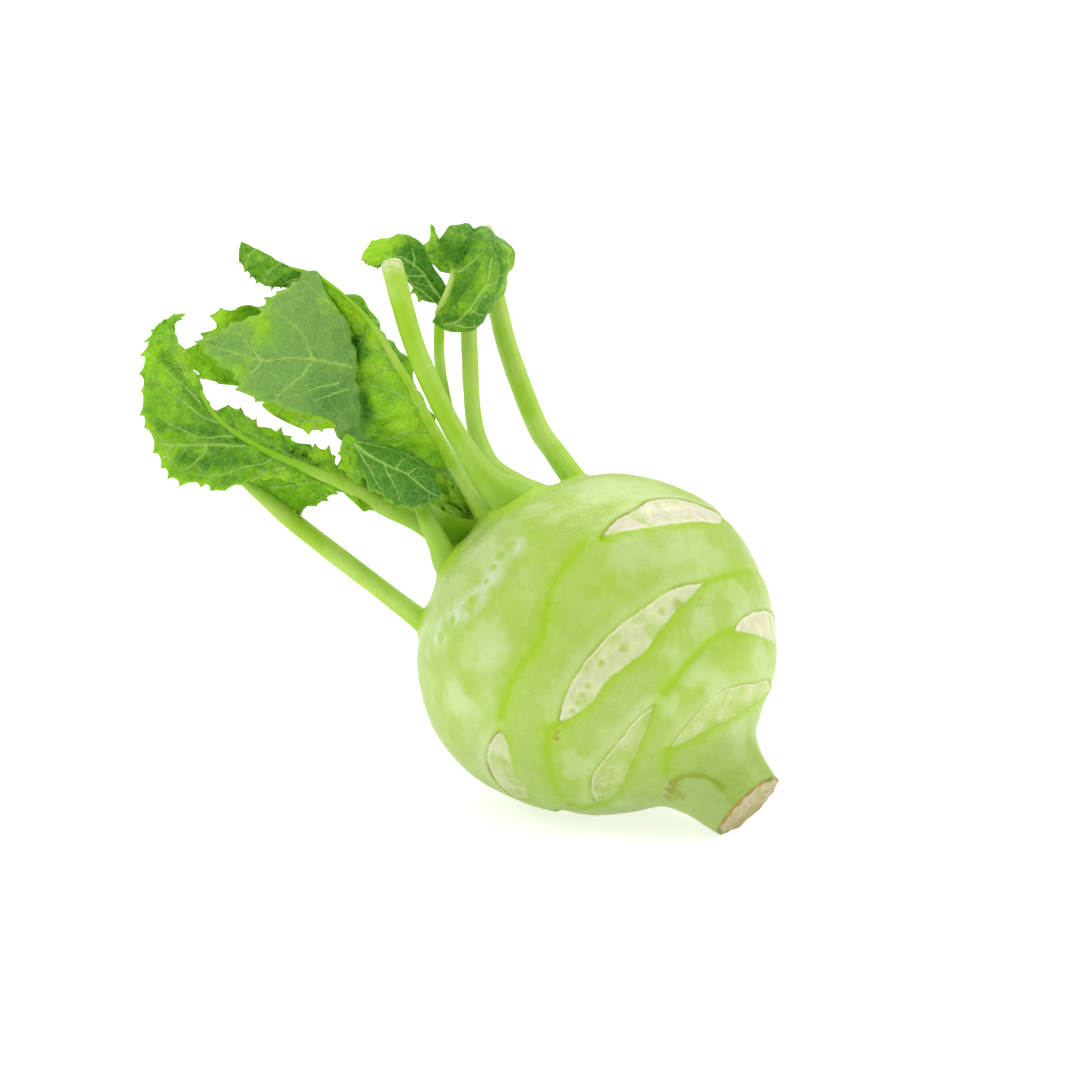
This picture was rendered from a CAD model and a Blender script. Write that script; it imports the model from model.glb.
"""A kohlrabi lying on the side of its bulb: the looks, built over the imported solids.

The plans below are in millimetres, in the plant's own side plane as the solids are laid out: x to
the right, y towards the back, z up, from the middle of the bulb. to_world() leans that plane back
and gives metres in the frame.
"""

import math

import bpy
import numpy as np
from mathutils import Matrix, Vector


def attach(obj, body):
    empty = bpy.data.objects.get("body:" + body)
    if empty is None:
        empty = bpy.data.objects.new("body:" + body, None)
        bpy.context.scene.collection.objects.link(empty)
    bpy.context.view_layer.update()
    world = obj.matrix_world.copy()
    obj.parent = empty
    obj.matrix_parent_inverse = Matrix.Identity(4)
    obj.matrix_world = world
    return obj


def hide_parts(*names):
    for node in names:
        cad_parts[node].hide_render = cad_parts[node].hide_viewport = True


# ---- sizes --------------------------------------------------------------------------------------

LEAN = math.radians(15)
REST_HEIGHT = 42.2  # of the middle of the bulb above the ground
CROWN_RISE = math.radians(46.5)  # how steeply the bulb's axis rises to the crown
CROWN_TURN = math.radians(16)  # and how far the crown is turned to the back
FAR = 50.0  # what a distance in mm is where nothing is near
WAVES = 14  # how many waves add up to an uneven surface

BULB_ROWS = 220
BULB_SIDES = 400
FRONT_DENSITY = 0.35  # how much closer the bulb's columns stand in front than on average

SCAR_DEPTH = 0.5
LEDGE_HEIGHT = 0.28  # the skin stands up this much on the crown's side of a scar
SHOULDER_DEPTH = 0.35  # and sinks this much on the root's side
LINE_DEPTH = 0.3
LINE_HOLLOW = 0.22  # the wide hollow either side of a line
FACET_DEPTH = 0.25
COLLAR_HEIGHT = 1.3  # the skin swells this much round the foot of a stalk
COLLAR_REACH = 5.0
COLLAR_TINT_REACH = 8.0
SKIN_WAVES = [(0.14, 16, 3), (0.035, 3.5, 4)]  # height, size and seed of the skin's unevenness
LIP_WAVE = 0.3  # of the rim of the cut stub
CUT_ROUGHNESS = 0.22

STALK_SIDES = 28
STALK_RINGS = 150
FOOT_FLARE = 0.25  # how much a leaf's stalk widens at its foot
FLARE_LENGTH = 9.0
FOOT_FADE = 12.0  # how far up its pale foot fades
MIDRIB_THINNING = 0.35
RIDGES = (3, 5, 7, 9)  # how many times each goes round a stalk
RIDGE_HEIGHT = 0.012  # as a share of the stalk's width
STALK_WAVE = 0.05
CUT_ROUNDING = 1.4
CUT_TILT_LENGTH = 6.0
PITH_DEPTH = 3.5  # how far down from a cut end the skin is pale

BLADE_HALF = 0.24  # half of a blade's thickness, and of its rim's
RIM_HALF = 0.12
BLADE_CELL = 0.45  # about how far apart a blade's points are
VEIN_HALF = 0.21
TOOTH = 1.5
DEEPEST_TOOTH = 0.16  # as a share of the blade's width
TOOTH_SIZES = (0.45, 1.3)
TOOTH_SHIFT = 0.22  # how far a tooth may be off its even place
TIP_SHARE = 0.14  # of a tooth that its brown tip takes along the edge
TIP_LENGTH = 0.7
LOBING = 0.7  # how deep the edge goes in and out between lobes, in tooth depths
PUCKER = 0.3  # how far a blade stands up between its veins
FINE_PUCKER = 0.1
RIM_WAVE = 0.9
CREASE_SHADE = 0.3  # how much deeper the green is in a crease
FIRST_VEIN = 1.4  # how wide veins are beside a main one
SIDE_VEIN = 0.6
BRANCH_VEIN = 0.4
VEIN_TAPER = 0.55
BRANCH_SPACING = 6.0
BRANCH_LENGTH = 5.0
BRANCH_TURNS = (0.7, 1.15)  # how far branches turn off, in radians
BRANCH_BEND = 0.5  # and then bend back
VEIN_CLEARANCE = 0.8
FRONT_FIRST = 0.02  # how strongly a line drawn on a fold keeps to its front
OFF_BLADE = 1.5  # a line ends where the blade is this far from it, in square mm

# The bulb's outline from the crown to the root stub: [height along the growth axis, radius, how far
# the section has grown off the axis].
BULB_OUTLINE = [
    [41, 0, -1.8], [40.4, 7, -1.8], [38.6, 14.5, -1.8], [35.5, 21.5, -1.7], [31, 29, -1.6],
    [25, 35.8, -1.1], [17, 41, -0.8], [10, 43.9, -0.6], [3, 45.4, 0], [-4, 45, 0.3],
    [-12, 43, 0.7], [-19, 40.2, 1.1], [-26, 35.8, 1.6], [-31.5, 31.5, 2.2], [-36, 26, 2.4],
    [-39, 21, 2], [-41.8, 17, 1], [-44.5, 14.3, 0], [-49.5, 12, -0.2], [-54, 10.8, -0.2],
    [-57.6, 9.9, 0], [-57.4, 8.7, 0], [-56.9, 7.4, 0], [-56.8, 0, 0],
]
CUT_LIP = 20  # the place in that list where the cut face of the stub begins
LOOP_MARGINS = [(14, 28), (28, 28)]  # how far below and above a scar, in mm and degrees, it tells

# Edges of the leaf scars, each a loop of [height, degrees round the axis], -90 being the front.
SCAR_UPPER_RIGHT = [
    [7.5, -64.3], [9.2, -55.8], [8.8, -47.4], [9.3, -38.4], [6, -25.9], [1.7, -17.7], [-1, -8],
    [-3.4, -16], [-2.6, -26.2], [0.2, -40.9], [3.5, -52.2], [6.2, -59.5],
]
SCAR_MIDDLE = [
    [-17.8, -119.9], [-14.8, -108.9], [-12.9, -95], [-12.4, -83.5], [-12.9, -69.6],
    [-13.4, -58.1], [-14.9, -50], [-16.2, -45.5], [-17.6, -52.6], [-18.4, -61.7], [-19.7, -71.3],
    [-21.1, -81], [-20.4, -90.8], [-20.1, -97], [-20.6, -106.9], [-19.6, -116],
]
SCAR_LOWER = [
    [-30.7, -93], [-29.9, -101], [-30.1, -116.1], [-29.9, -136.6], [-31, -149], [-33, -164],
    [-34.8, -159.5], [-35.8, -146], [-35.4, -130.1], [-34.4, -116.5], [-32.8, -103],
]
SCAR_LOWER_LEFT = [
    [-7.9, -136.8], [-7.3, -145], [-8.5, -155], [-12, -167], [-16.5, -177], [-19.2, -173],
    [-18.7, -160.5], [-15.6, -153], [-12.7, -143.8], [-10.4, -138.5],
]
SCAR_RIGHT = [
    [-28.3, -42], [-26.7, -34.8], [-26.2, -22], [-26.2, -7], [-27, 12], [-29.5, 23], [-32, 12],
    [-32.6, -3], [-32.4, -15.8], [-31, -27.6], [-29.8, -36],
]
SCAR_NECK = [
    [-38.4, -106], [-37.6, -90], [-37, -72], [-36.8, -60], [-37.6, -44], [-38.3, -24], [-38, -4],
    [-38.6, 18], [-40.2, 4], [-41.4, -26], [-41.9, -45], [-41.5, -62], [-40.7, -84], [-39.6, -99],
]
SCAR_BACK_UPPER = [
    [4, 42], [7.8, 54], [9.7, 72], [9.6, 92], [8, 108], [4.4, 94], [2.4, 74], [2.2, 54],
]
SCAR_BACK_LOWER = [
    [-19, 30], [-15.8, 42], [-14.6, 60], [-15, 78], [-17, 92], [-20, 80], [-21.5, 60], [-21.4, 42],
]
SCAR_BACK_LEFT = [
    [-22, 118], [-19.6, 130], [-19.4, 146], [-21.4, 160], [-24, 172], [-25.8, 158], [-26, 142],
    [-24.8, 128],
]
# Each scar's edge, how bare its cream flesh is of healed skin, and how pink it is.
SCARS = [
    (SCAR_UPPER_RIGHT, 1.0, 0.7),
    (SCAR_MIDDLE, 0.72, 0.6),
    (SCAR_LOWER, 0.45, 0.4),
    (SCAR_LOWER_LEFT, 0.6, 0.4),
    (SCAR_RIGHT, 1.0, 0.5),
    (SCAR_NECK, 0.5, 0.3),
    (SCAR_BACK_UPPER, 0.95, 0.6),
    (SCAR_BACK_LOWER, 0.8, 0.4),
    (SCAR_BACK_LEFT, 0.7, 0.3),
]

# An old scar near the crown, long healed over: only a pale band is left of it.
PALE_BAND = [
    [20.9, -86], [20.6, -94], [19.2, -102], [18.9, -110], [19.8, -117], [21, -127], [22.8, -138],
]
PALE_BAND_MARKS = [
    [20, -130, 2.2], [19.9, -126, 2.4], [19.9, -121, 1.7], [22.2, -91, 2.3], [22.7, -86, 2.2],
    [21.2, -96, 1.3], [19.8, -101, 1.3], [19.2, -110, 1.5], [23.4, -144, 1.6],
]

# Where the waxy bloom is thickest: [height, degrees, radius].
BLOOM_PATCHES = [
    [8.9, -118, 10], [25.6, -114, 8], [28.9, -101, 7], [-2.1, -59, 8], [-6.9, -48, 8],
    [-11.8, -38, 10], [24, -88, 9], [21, -44, 10], [10.5, -28, 9], [-25.3, -136, 4.5], [-28.7, -69, 5],
    [-30, -90, 4.5], [-26.2, -60, 6], [-34.5, -22, 5], [-20.9, -33, 5], [-41.8, -40, 5],
    [25, -64, 7], [6.1, -140, 7], [0, 70, 14], [22, 120, 13], [-14, 130, 9], [-24, 60, 9],
]

# Lime lines where the leaf bases joined the skin, from one scar to the next.
LIME_LINES = [
    [[7.2, -64.5], [9.6, -66], [8.3, -73.5], [6.9, -81.5], [5.4, -86.7], [2.4, -92.8], [-1.6, -100.2],
     [-2.5, -107.8], [-3.2, -117.4], [-5.3, -126.4], [-7.8, -137]],
    [[-15.9, -46], [-16.6, -38], [-17.2, -26], [-16.6, -9], [-15.4, 8], [-16.8, 26]],
    [[-28, -43.8], [-27.6, -53.9], [-28.2, -66], [-29.6, -80], [-30.6, -92]],
    [[-17.9, -120.2], [-17.4, -124.3], [-19, -132.1], [-21.9, -141.2], [-25.6, -156.3], [-30, -172]],
    [[-38.4, -106], [-39.4, -114], [-40.4, -122]],
    [[-1, -8], [1.4, 12], [3.6, 38]],
    [[8, 108], [4, 128], [-3, 152], [-12, 172]],
    [[-17, 92], [-18.4, 104], [-22, 118]],
    [[-24, 172], [-28, 186], [-33, 196]],
]

# Ends of the veins that fed the leaves, seen in the scars: [height, degrees, radius].
SCAR_SPOTS = [
    [-17.1, -85, 1.7], [-16.2, -94, 1.4], [-16.3, -66, 1.6], [-16.8, -59, 1.6], [-17.7, -103, 1.2],
    [-18.1, -107, 1.4], [-18.5, -110, 1.3], [-18.8, -114, 1.1], [-16.3, -89, 0.8], [-17.2, -61, 1],
    [-32.7, -133, 1.3], [-32.4, -143, 0.9], [-33.3, -158, 1.1], [-32.1, -117, 0.7],
    [-39.7, -32, 0.9], [-39.4, -50, 0.8], [-40.1, -63, 1.2], [-39.1, -67, 0.9], [-38.7, -87, 1.1],
    [-39.6, -88, 0.8], [-38.6, -100, 1], [-38.8, -95, 0.8], [-39.6, -10, 0.8],
    [-28.3, -28, 0.8], [-29.9, -15, 0.9], [-28.8, 4, 0.8], [6.6, -45, 0.8], [5.4, -30, 0.8],
    [5.6, 66, 1.2], [6.4, 84, 1.1], [-18, 52, 1.2], [-18.4, 70, 1.1], [-22.6, 138, 1.1],
    [-23.4, 152, 0.9],
]

# Rough brown bits on the skin: [height, degrees, radius].
BROWN_BITS = [
    [-43.8, -138, 2.2], [-43.2, -130, 1.7], [-44, -149, 2], [-45.6, -138, 1.7],
    [-28.4, -164, 1.4], [-27.8, -168, 1.2], [-18.7, -124, 1], [-19.4, -126.5, 1.1], [-18.9, -51, 0.7],
]

# A knife cut down the side of the stub.
STUB_FACET = [
    [-43.2, -124], [-44, -115], [-46, -106], [-48.6, -99], [-52, -97], [-57.4, -110],
    [-57.4, -142], [-52.2, -156], [-46.8, -151], [-44.6, -133],
]

# ---- plans of the stalks and leaves -------------------------------------------------------------

# Stalks are stations [x, y, z, half width, half depth]. These were cut.
FRONT_CUT_STALK = [
    [-16.5, -5, 31.3, 8.5, 6], [-20.9, -7.5, 35.8, 6, 4.6], [-25.6, -9.5, 39.8, 3.9, 3.8],
    [-30.1, -10.5, 45.3, 3, 3.2], [-35.8, -11.5, 54.6, 2.6, 2.8], [-41, -12.5, 65.3, 2.6, 2.7],
    [-44.8, -13, 74.3, 2.6, 2.6], [-47.7, -13, 84, 2.7, 2.7], [-50.6, -13, 95.3, 2.8, 2.8],
]
RIGHT_CUT_STALK = [
    [-1.5, 3, 36.5, 3.4, 3.4], [-4.8, 6, 41, 3.1, 3], [-9.7, 9, 47.8, 2.8, 2.7],
    [-14.5, 11, 55.3, 2.7, 2.6], [-21.3, 13, 73.3, 2.6, 2.5], [-24.4, 13.5, 85.5, 2.5, 2.4],
    [-26.2, 13, 94, 2.4, 2.4], [-27.8, 12.5, 105, 2.4, 2.4],
]
MIDDLE_CUT_STALK = [
    [-17, 2, 33, 8.6, 3.4], [-21.5, 3, 37.8, 5.8, 3.4], [-26.2, 5, 44, 3.2, 2.8],
    [-29, 7, 51, 2.3, 2.3], [-30.4, 8.5, 58.3, 2.1, 2.1], [-31, 10, 67.5, 2.1, 2.1],
    [-31.4, 10.5, 77.8, 2.1, 2.1], [-31.5, 10.5, 94, 2, 2],
]

# Each leaf has its stalk, which goes on as the midrib, and its blades. leafy is between which
# distances along the stalk it turns into the midrib, tint how much paler, or deeper below zero, the
# stalk is at its foot and at its end, and specks how dark its specks are. A blade is a net of
# points, rows along it and columns across it, and size is how many points its mesh has each way.
# teeth are how many its first and its last column have. Its veins are drawn in x and z, vein_width
# is how wide they are beside the usual, and side_veins are that many more, spaced evenly. grey and
# deep say how grey and how dark it is, at even places across it and along it. shades, blues and
# greys are patches [x, z, reach, strength] where it is darker, bluer and greyer, or less so.
# Creases are a path in x and z, their depth and their half width. crinkle is how crumpled it is.
# shade is a sheath's, across it.
PLAIN_BLADE = {
    "teeth": (0, 0), "side_veins": 0, "veins": [], "vein_width": 1, "creases": [], "crinkle": 1,
    "grey": [0, 0], "deep": [0, 0], "shades": [], "blues": [], "greys": [],
}
FRONT_LEAF_BLADE = {
    "size": (320, 84), "teeth": (26, 22), "grey": [0.1, 0.1, 0.2, 0.1],
    "deep": [0.3, 0.4, 0.5, 0.3, 0.1], "shades": [[-93.5, 48, 5, 0.3]],
    "creases": [
        ([[-93.5, 53.5], [-98.5, 60], [-103, 66.5], [-107, 72.5]], 1.3, 1.8),
        ([[-88, 50.3], [-94, 52.2], [-100, 53.2], [-107, 53.8]], 1.1, 2.2),
        ([[-80, 43.5], [-88, 45.5], [-96, 44.5], [-101, 46]], 0.9, 2),
        ([[-69, 44], [-75, 49.5]], 0.8, 1.6),
    ],
    "net": [
        [[-56, -1, 34], [-56, -1, 35], [-55.5, -1, 36.5], [-54.5, -2, 39]],
        [[-63, -3, 37], [-62.5, -3.5, 38.5], [-62.5, -3.5, 40], [-62.5, -1.5, 46.5]],
        [[-69.5, -5, 40], [-69.5, -5.5, 41], [-69, -5, 42.5], [-69, -2.5, 50.5]],
        [[-79.5, -8, 41], [-78, -8.5, 43], [-76, -6.5, 45.5], [-76, -3, 52.5]],
        [[-88, -12, 38.8], [-85, -11.5, 43.5], [-82, -8, 48], [-82.5, -5, 55.5]],
        [[-93.8, -15, 37.3], [-90.8, -14, 44.5], [-88, -10, 51.5], [-88.5, -7, 59.5]],
        [[-102.5, -17, 38.5], [-97.5, -15.5, 47], [-93.5, -11.5, 56], [-93.3, -6, 57.8]],
        [[-108.5, -18, 43.5], [-102, -16, 52], [-97, -12, 60.5], [-98, -5, 59.5]],
        [[-112, -17, 53.5], [-105.5, -14.5, 60], [-99.5, -12, 66.5], [-100.5, -5, 64.5]],
        [[-113.3, -14, 64], [-107.5, -12, 68.5], [-102.3, -11, 72], [-103.5, -5, 70.5]],
        [[-112.5, -10, 74.3], [-107.5, -9, 76], [-104, -8.5, 76.6], [-104.8, -4, 76]],
        [[-110.3, -8, 78.8], [-107, -7.5, 79.3], [-105.3, -7, 79.5], [-103.8, -5, 79.6]],
        [[-105, -6, 81.8], [-103.8, -6, 82.1], [-102.5, -5.5, 82.2], [-101, -4.5, 82]],
    ],
    "veins": [
        [[-86.6, 49.4], [-91.5, 49.5], [-96.2, 49.4], [-99.4, 49.2], [-104.5, 49.2], [-110.8, 50]],
        [[-96.2, 49.2], [-96.8, 47.2], [-99.4, 44.3], [-102.5, 42.8]],
        [[-104.5, 49.2], [-105.6, 46.5], [-102.5, 43.3]],
        [[-105.8, 46.4], [-108, 45.8]],
        [[-73.5, 44], [-79.5, 46], [-81, 45.4], [-86.6, 44], [-93, 41.8], [-98.8, 41.8]],
        [[-73.5, 43.8], [-78.8, 43.5], [-83.2, 41.8], [-87.2, 39.8]],
        [[-93, 55.2], [-97.8, 57], [-101, 59.5], [-104.5, 61.8], [-108.3, 64.7], [-112.8, 66.6]],
        [[-97.2, 60.2], [-101.3, 63.8], [-104.2, 66], [-107.3, 69.5]],
        [[-88.5, 51.8], [-95, 51.5], [-98.8, 51.3], [-101.3, 52.9], [-105.8, 55.2], [-108.9, 56.8]],
        [[-101, 66.2], [-104, 71.2], [-106, 74.5], [-108.5, 77]],
        [[-62.2, 38.5], [-68.5, 42.2], [-73.5, 46.5], [-77.2, 48.2]],
        [[-73.5, 44.2], [-77.2, 47.8], [-83, 50.8], [-87, 52.8]],
        [[-86.8, 50.5], [-89, 54.5], [-90.2, 57]],
    ],
}
FRONT_LEAF_LOWER_LOBE = {
    "size": (60, 16), "teeth": (0, 3), "deep": [0.2, 0.4],
    "net": [
        [[-63, -4, 38.8], [-63, -4, 37.8]],
        [[-60, -3.5, 37.3], [-60.5, -3.5, 35]],
        [[-57.8, -3, 36], [-57.8, -3, 32.3]],
        [[-56, -2.8, 34.8], [-55.8, -3, 32.8]],
        [[-53.5, -2.5, 33.3], [-53.4, -2.5, 32.6]],
    ],
}
FRONT_LEFT_LEAF = {
    "leafy": (30, 60), "tint": (-0.4, -0.4),
    "stalk": [
        [-31, 6, 20.8, 3, 3], [-37.3, 4, 25.5, 2.6, 2.6], [-44.8, 1, 30.5, 2.4, 2.3],
        [-52.3, -1.5, 34, 2.3, 2.2], [-61.8, -4, 39.5, 2, 1.9], [-73, -6.5, 44, 1.6, 1.5],
        [-85.5, -9.5, 50, 1.2, 1.2], [-94, -11.5, 56.5, 1, 1], [-99.8, -12, 66.5, 0.8, 0.8],
        [-102.5, -11, 72, 0.7, 0.7],
    ],
    "blades": [FRONT_LEAF_BLADE, FRONT_LEAF_LOWER_LOBE],
}
LOWER_LEAF_BLADE = {
    "size": (180, 74), "teeth": (14, 14), "grey": [0.1, 0.1, 0.1],
    "deep": [0.1, 0.2, 0.2, 0.1],
    "net": [
        [[-77, 7, 30.3], [-75.5, 7, 31], [-75, 7, 31.5], [-74.5, 7, 32.5]],
        [[-79.8, 7, 33], [-78.5, 7, 33.8], [-73.5, 8, 35.8], [-68.3, 7, 34.3]],
        [[-83.5, 6.5, 36.3], [-82.3, 6.5, 36.8], [-72.3, 8, 40], [-61.3, 6, 38]],
        [[-88.5, 7, 40.5], [-86.5, 6, 40.3], [-76, 7.5, 45.8], [-64.8, 6, 47]],
        [[-97.3, 6, 43.3], [-91.5, 5.5, 44.3], [-84, 6.5, 50.8], [-77.3, 7, 52.8]],
        [[-103, 6, 47], [-97.3, 5, 49.3], [-93, 5, 53.3], [-89, 5, 55.8]],
        [[-104, 5, 52.8], [-101.8, 4.5, 54], [-100.5, 4, 54.8], [-99.3, 4, 55.5]],
    ],
    "veins": [
        [[-84, 38.4], [-76, 39.6], [-70, 40.4], [-63.5, 39.6]],
        [[-74, 40.2], [-76.5, 37], [-78, 35]],
        [[-69, 40.3], [-68.6, 37.5], [-68.4, 35.2]],
        [[-90, 43.4], [-82, 46.5], [-74, 48.6], [-68, 49]],
        [[-96, 48], [-90, 51.6], [-86, 53.6]],
    ],
}
LOWER_LEFT_LEAF = {
    "leafy": (50, 72),
    "stalk": [
        [-37.3, 2, 0.5, 2.9, 2.9], [-43.5, 4, 5.8, 2.6, 2.6], [-55.8, 6, 15.2, 2.5, 2.5],
        [-66.5, 7, 23.4, 2.5, 2.4], [-76.5, 7, 31.2, 2.3, 2.2], [-86.5, 6, 39.5, 1.8, 1.8],
        [-95, 5, 46.5, 1.2, 1.2], [-100, 4.5, 52, 0.7, 0.7],
    ],
    "blades": [LOWER_LEAF_BLADE],
}
LARGE_LEAF_NEAR_HALF = {
    "size": (250, 104), "teeth": (0, 24), "grey": [0, 0, 0.1, 0.75, 1, 1, 0.9],
    "deep": [0.3, 0.1, 0.1, 0.1, 0.1, 0.1],
    "shades": [
        [-59.4, 75.4, 1.6, 1], [-57.6, 72.4, 1.9, 1.2], [-58, 61.5, 1.8, 1], [-57, 57.5, 2, 1.1],
        [-52, 68, 4, -0.5], [-47, 58, 4, -0.5], [-53, 60, 3, -0.4],
    ],
    "blues": [[-66, 61, 5, 1]], "crinkle": 0.7,
    "greys": [[-82.5, 78, 5, -0.7], [-88, 68, 4, -0.5], [-66, 84, 4, -0.4]],
    "creases": [
        ([[-59, 66.5], [-55, 64.5], [-51, 61.5]], 0.7, 1.5),
        ([[-57.5, 60], [-55.5, 56], [-53, 52.5]], 0.8, 1.5),
        ([[-60, 75.5], [-57, 77], [-56.5, 79]], 0.8, 1.3),
    ],
    "net": [
        [[-31, -1.5, 38.5], [-31.5, -1.5, 38.4], [-32, -1.5, 38.2], [-32.5, -1.5, 38.1],
         [-33, -1.5, 38], [-33.5, -1.5, 37.8]],
        [[-34, -2.3, 43.5], [-35.3, -2, 43.4], [-36.5, -1.5, 43.5], [-38, -1, 43.8],
         [-39.3, -0.5, 44], [-40.5, 0, 44.5]],
        [[-37, -3, 49], [-42.3, -2.5, 46.5], [-49, -2, 47], [-54.5, -2.5, 48],
         [-58, -3, 48.8], [-62, -3, 50]],
        [[-41, -3.5, 56.3], [-48.5, -3.5, 54.5], [-56.5, -2.5, 53], [-59, -4, 53.2],
         [-64.3, -6, 55.3], [-68.3, -7, 56.6]],
        [[-44.5, -4, 61.8], [-51.5, -4, 60.8], [-58, -2.5, 58.8], [-59.6, -5, 59.5],
         [-69.8, -8.5, 60], [-79.8, -10, 58]],
        [[-48.5, -4, 69.3], [-54.8, -4, 67.8], [-59.3, -2.5, 66.3], [-60.3, -5.5, 67.5],
         [-74.8, -10, 66.3], [-89.5, -11, 62.4]],
        [[-50.6, -4, 72.6], [-56, -4, 71.3], [-60, -2, 70], [-61, -5.5, 71.5], [-77.4, -10, 70],
         [-95.5, -10, 69.8]],
        [[-52.5, -4, 75.5], [-57, -3.5, 74.5], [-60.6, -2, 73.3], [-61.4, -5.5, 75.3],
         [-79.8, -10.5, 73.5], [-101, -9, 75.9]],
        [[-55.3, -4, 79], [-59, -2.5, 78], [-62, -1, 77.3], [-62.8, -6, 78.8], [-78, -10, 77.3],
         [-92.8, -8.5, 78.7]],
        [[-58.3, -4, 82.3], [-61, -2.5, 81.3], [-63.3, -1, 81], [-64.3, -5.5, 82],
         [-76, -9, 80.8], [-85.6, -8, 83.6]],
        [[-63.8, -3.5, 87.5], [-65.3, -3, 87], [-66.5, -2.5, 86.7], [-67.8, -5, 87.5],
         [-74, -6.5, 87], [-80.5, -6, 87.5]],
        [[-69, -3, 92.8], [-69.5, -3, 92.8], [-70, -3, 92.5], [-70.5, -3.5, 92.5],
         [-72.3, -4, 92.3], [-74.8, -4, 91.5]],
    ],
    "veins": [
        [[-60.4, 68.8], [-66, 70], [-71.4, 70.8], [-76.8, 70.8], [-82.2, 70.4], [-89.3, 72.2],
         [-97, 74.5]],
        [[-82.2, 70.4], [-85.5, 73.9], [-87.8, 76.5], [-90.4, 78.2]],
        [[-82.2, 70.4], [-85, 67.4], [-87.7, 65.8], [-90.5, 65.2]],
        [[-69.8, 70.9], [-71.4, 75], [-74.7, 79.3], [-79.5, 82.5], [-83.9, 83.4]],
        [[-70.6, 69.5], [-73, 66.3], [-76.8, 63], [-80.6, 59.2]],
        [[-62.2, 81.5], [-65.4, 84.2], [-69.2, 87.5], [-74.7, 91.8]],
        [[-73.5, 90.8], [-76.8, 87.5], [-80.1, 88]],
        [[-53.5, 73.2], [-56.2, 75], [-59.5, 76.2]],
        [[-48.6, 68.5], [-52, 68.5], [-55.1, 69], [-58, 68.8]],
        [[-45.4, 60.3], [-49.8, 62.5], [-54, 63.8], [-58, 64.1]],
        [[-61, 63.5], [-66, 61.8], [-69.5, 60.2]],
        [[-41.1, 52.9], [-47.7, 52.5], [-49.9, 51.1], [-53.9, 50.2]],
        [[-50, 69.2], [-52.2, 73.2], [-54, 77]],
        [[-63.5, 64.8], [-68, 63.8], [-72.2, 62.2], [-75.5, 60.2]],
    ],
}
LARGE_LEAF_TIP = {
    "size": (90, 40), "teeth": (0, 8), "side_veins": 3, "deep": [0.75, 0.7, 0.6],
    "net": [
        [[-67.3, -2.5, 90.3], [-71, -2, 89.3], [-74.3, -1, 87.5]],
        [[-73.5, -1, 92.8], [-76.5, -1, 91], [-78.5, -1, 87.8]],
        [[-79.3, 0, 95.6], [-81, -1.5, 92.3], [-82.8, -2, 87.8]],
        [[-84.3, 1, 98.3], [-85, -1, 95.3], [-86, -2, 90.8]],
        [[-88.3, 1, 100.5], [-88.8, 0, 97.8], [-88.8, -1, 94.3]],
    ],
}
LARGE_LEAF_BACK_EDGE = {
    "size": (120, 16), "teeth": (0, 5), "deep": [0.6, 0.5],
    "net": [
        [[-63, -1.5, 87], [-62.5, -1, 87.3]],
        [[-60.5, -2, 84.8], [-58.5, -0.5, 86.8]],
        [[-57.5, -2, 81.5], [-54.8, 0, 82.5]],
        [[-54.5, -2, 78], [-53, 0, 78.3]],
        [[-52, -2.5, 74.5], [-50.5, -1, 75.3]],
        [[-49.5, -2.5, 70.8], [-46, -0.5, 71.8]],
        [[-47, -2.5, 66.8], [-44.5, -0.5, 67.5]],
        [[-45, -2.5, 63.3], [-43.8, -1.5, 63.8]],
    ],
}
LARGE_LEAF_LOBE = {
    "size": (70, 36), "teeth": (0, 6), "deep": [-0.4, -0.4],
    "crinkle": 0.6,
    "veins": [
        [[-66, 57.5], [-68.5, 55.5], [-70.5, 53.2]], [[-71, 58.8], [-73.5, 56], [-75.5, 53.8]],
        [[-75.5, 59.6], [-78, 57.2]], [[-68, 55.8], [-71.5, 55.6], [-74, 55.9]],
    ],
    "net": [
        [[-61, -4.5, 55.5], [-60.5, -4, 53.8], [-60, -4, 52]],
        [[-66, -6.8, 58.3], [-65.8, -5.5, 55.5], [-65.5, -5, 52.6]],
        [[-72.5, -8.5, 60.5], [-72.2, -7, 56.5], [-72, -6, 51.8]],
        [[-78, -9.5, 61], [-79, -8.5, 58.5], [-79, -8, 55.2]],
        [[-81, -10, 61.5], [-82, -9, 60.3], [-83, -8.5, 58.8]],
    ],
}
LARGE_LEAF_FAR_HALF = {
    "size": (130, 90), "teeth": (0, 12), "side_veins": 5, "grey": [0.2, 0.2, 0, 0],
    "deep": [0.4, 0.2, 0.1, 0.1], "shades": [[-99, 70, 7, -0.9], [-92, 81, 5, -0.6]],
    "net": [
        [[-41, -3, 56.3], [-40.5, -1, 54.3], [-48.5, 4, 53.3], [-57.3, 5, 53.8]],
        [[-46.5, -3.5, 65.5], [-45.3, -1, 63.8], [-58.5, 7, 60.8], [-73.5, 7, 60.8]],
        [[-49.2, -3.5, 70], [-48.4, -1, 68.2], [-63.5, 8, 65.2], [-99.5, 4, 65.8]],
        [[-50.5, -3.5, 72.3], [-50, -1, 70.5], [-66, 8, 67], [-103, 3, 66.8]],
        [[-54.8, -3.5, 78.8], [-54.5, -1, 76.8], [-71, 8, 73.3], [-104.5, 2, 72.8]],
        [[-58, -3.5, 82.5], [-58, -1, 80], [-73.5, 6, 78.5], [-98, 2, 79.6]],
        [[-61, -3.5, 85], [-61.3, -1, 83], [-73.5, 4, 82.3], [-93.6, 1, 84.2]],
        [[-64.8, -3, 88], [-64.8, -1, 86.3], [-72.3, 2, 85.3], [-84, 0, 84.3]],
    ],
}
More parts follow.
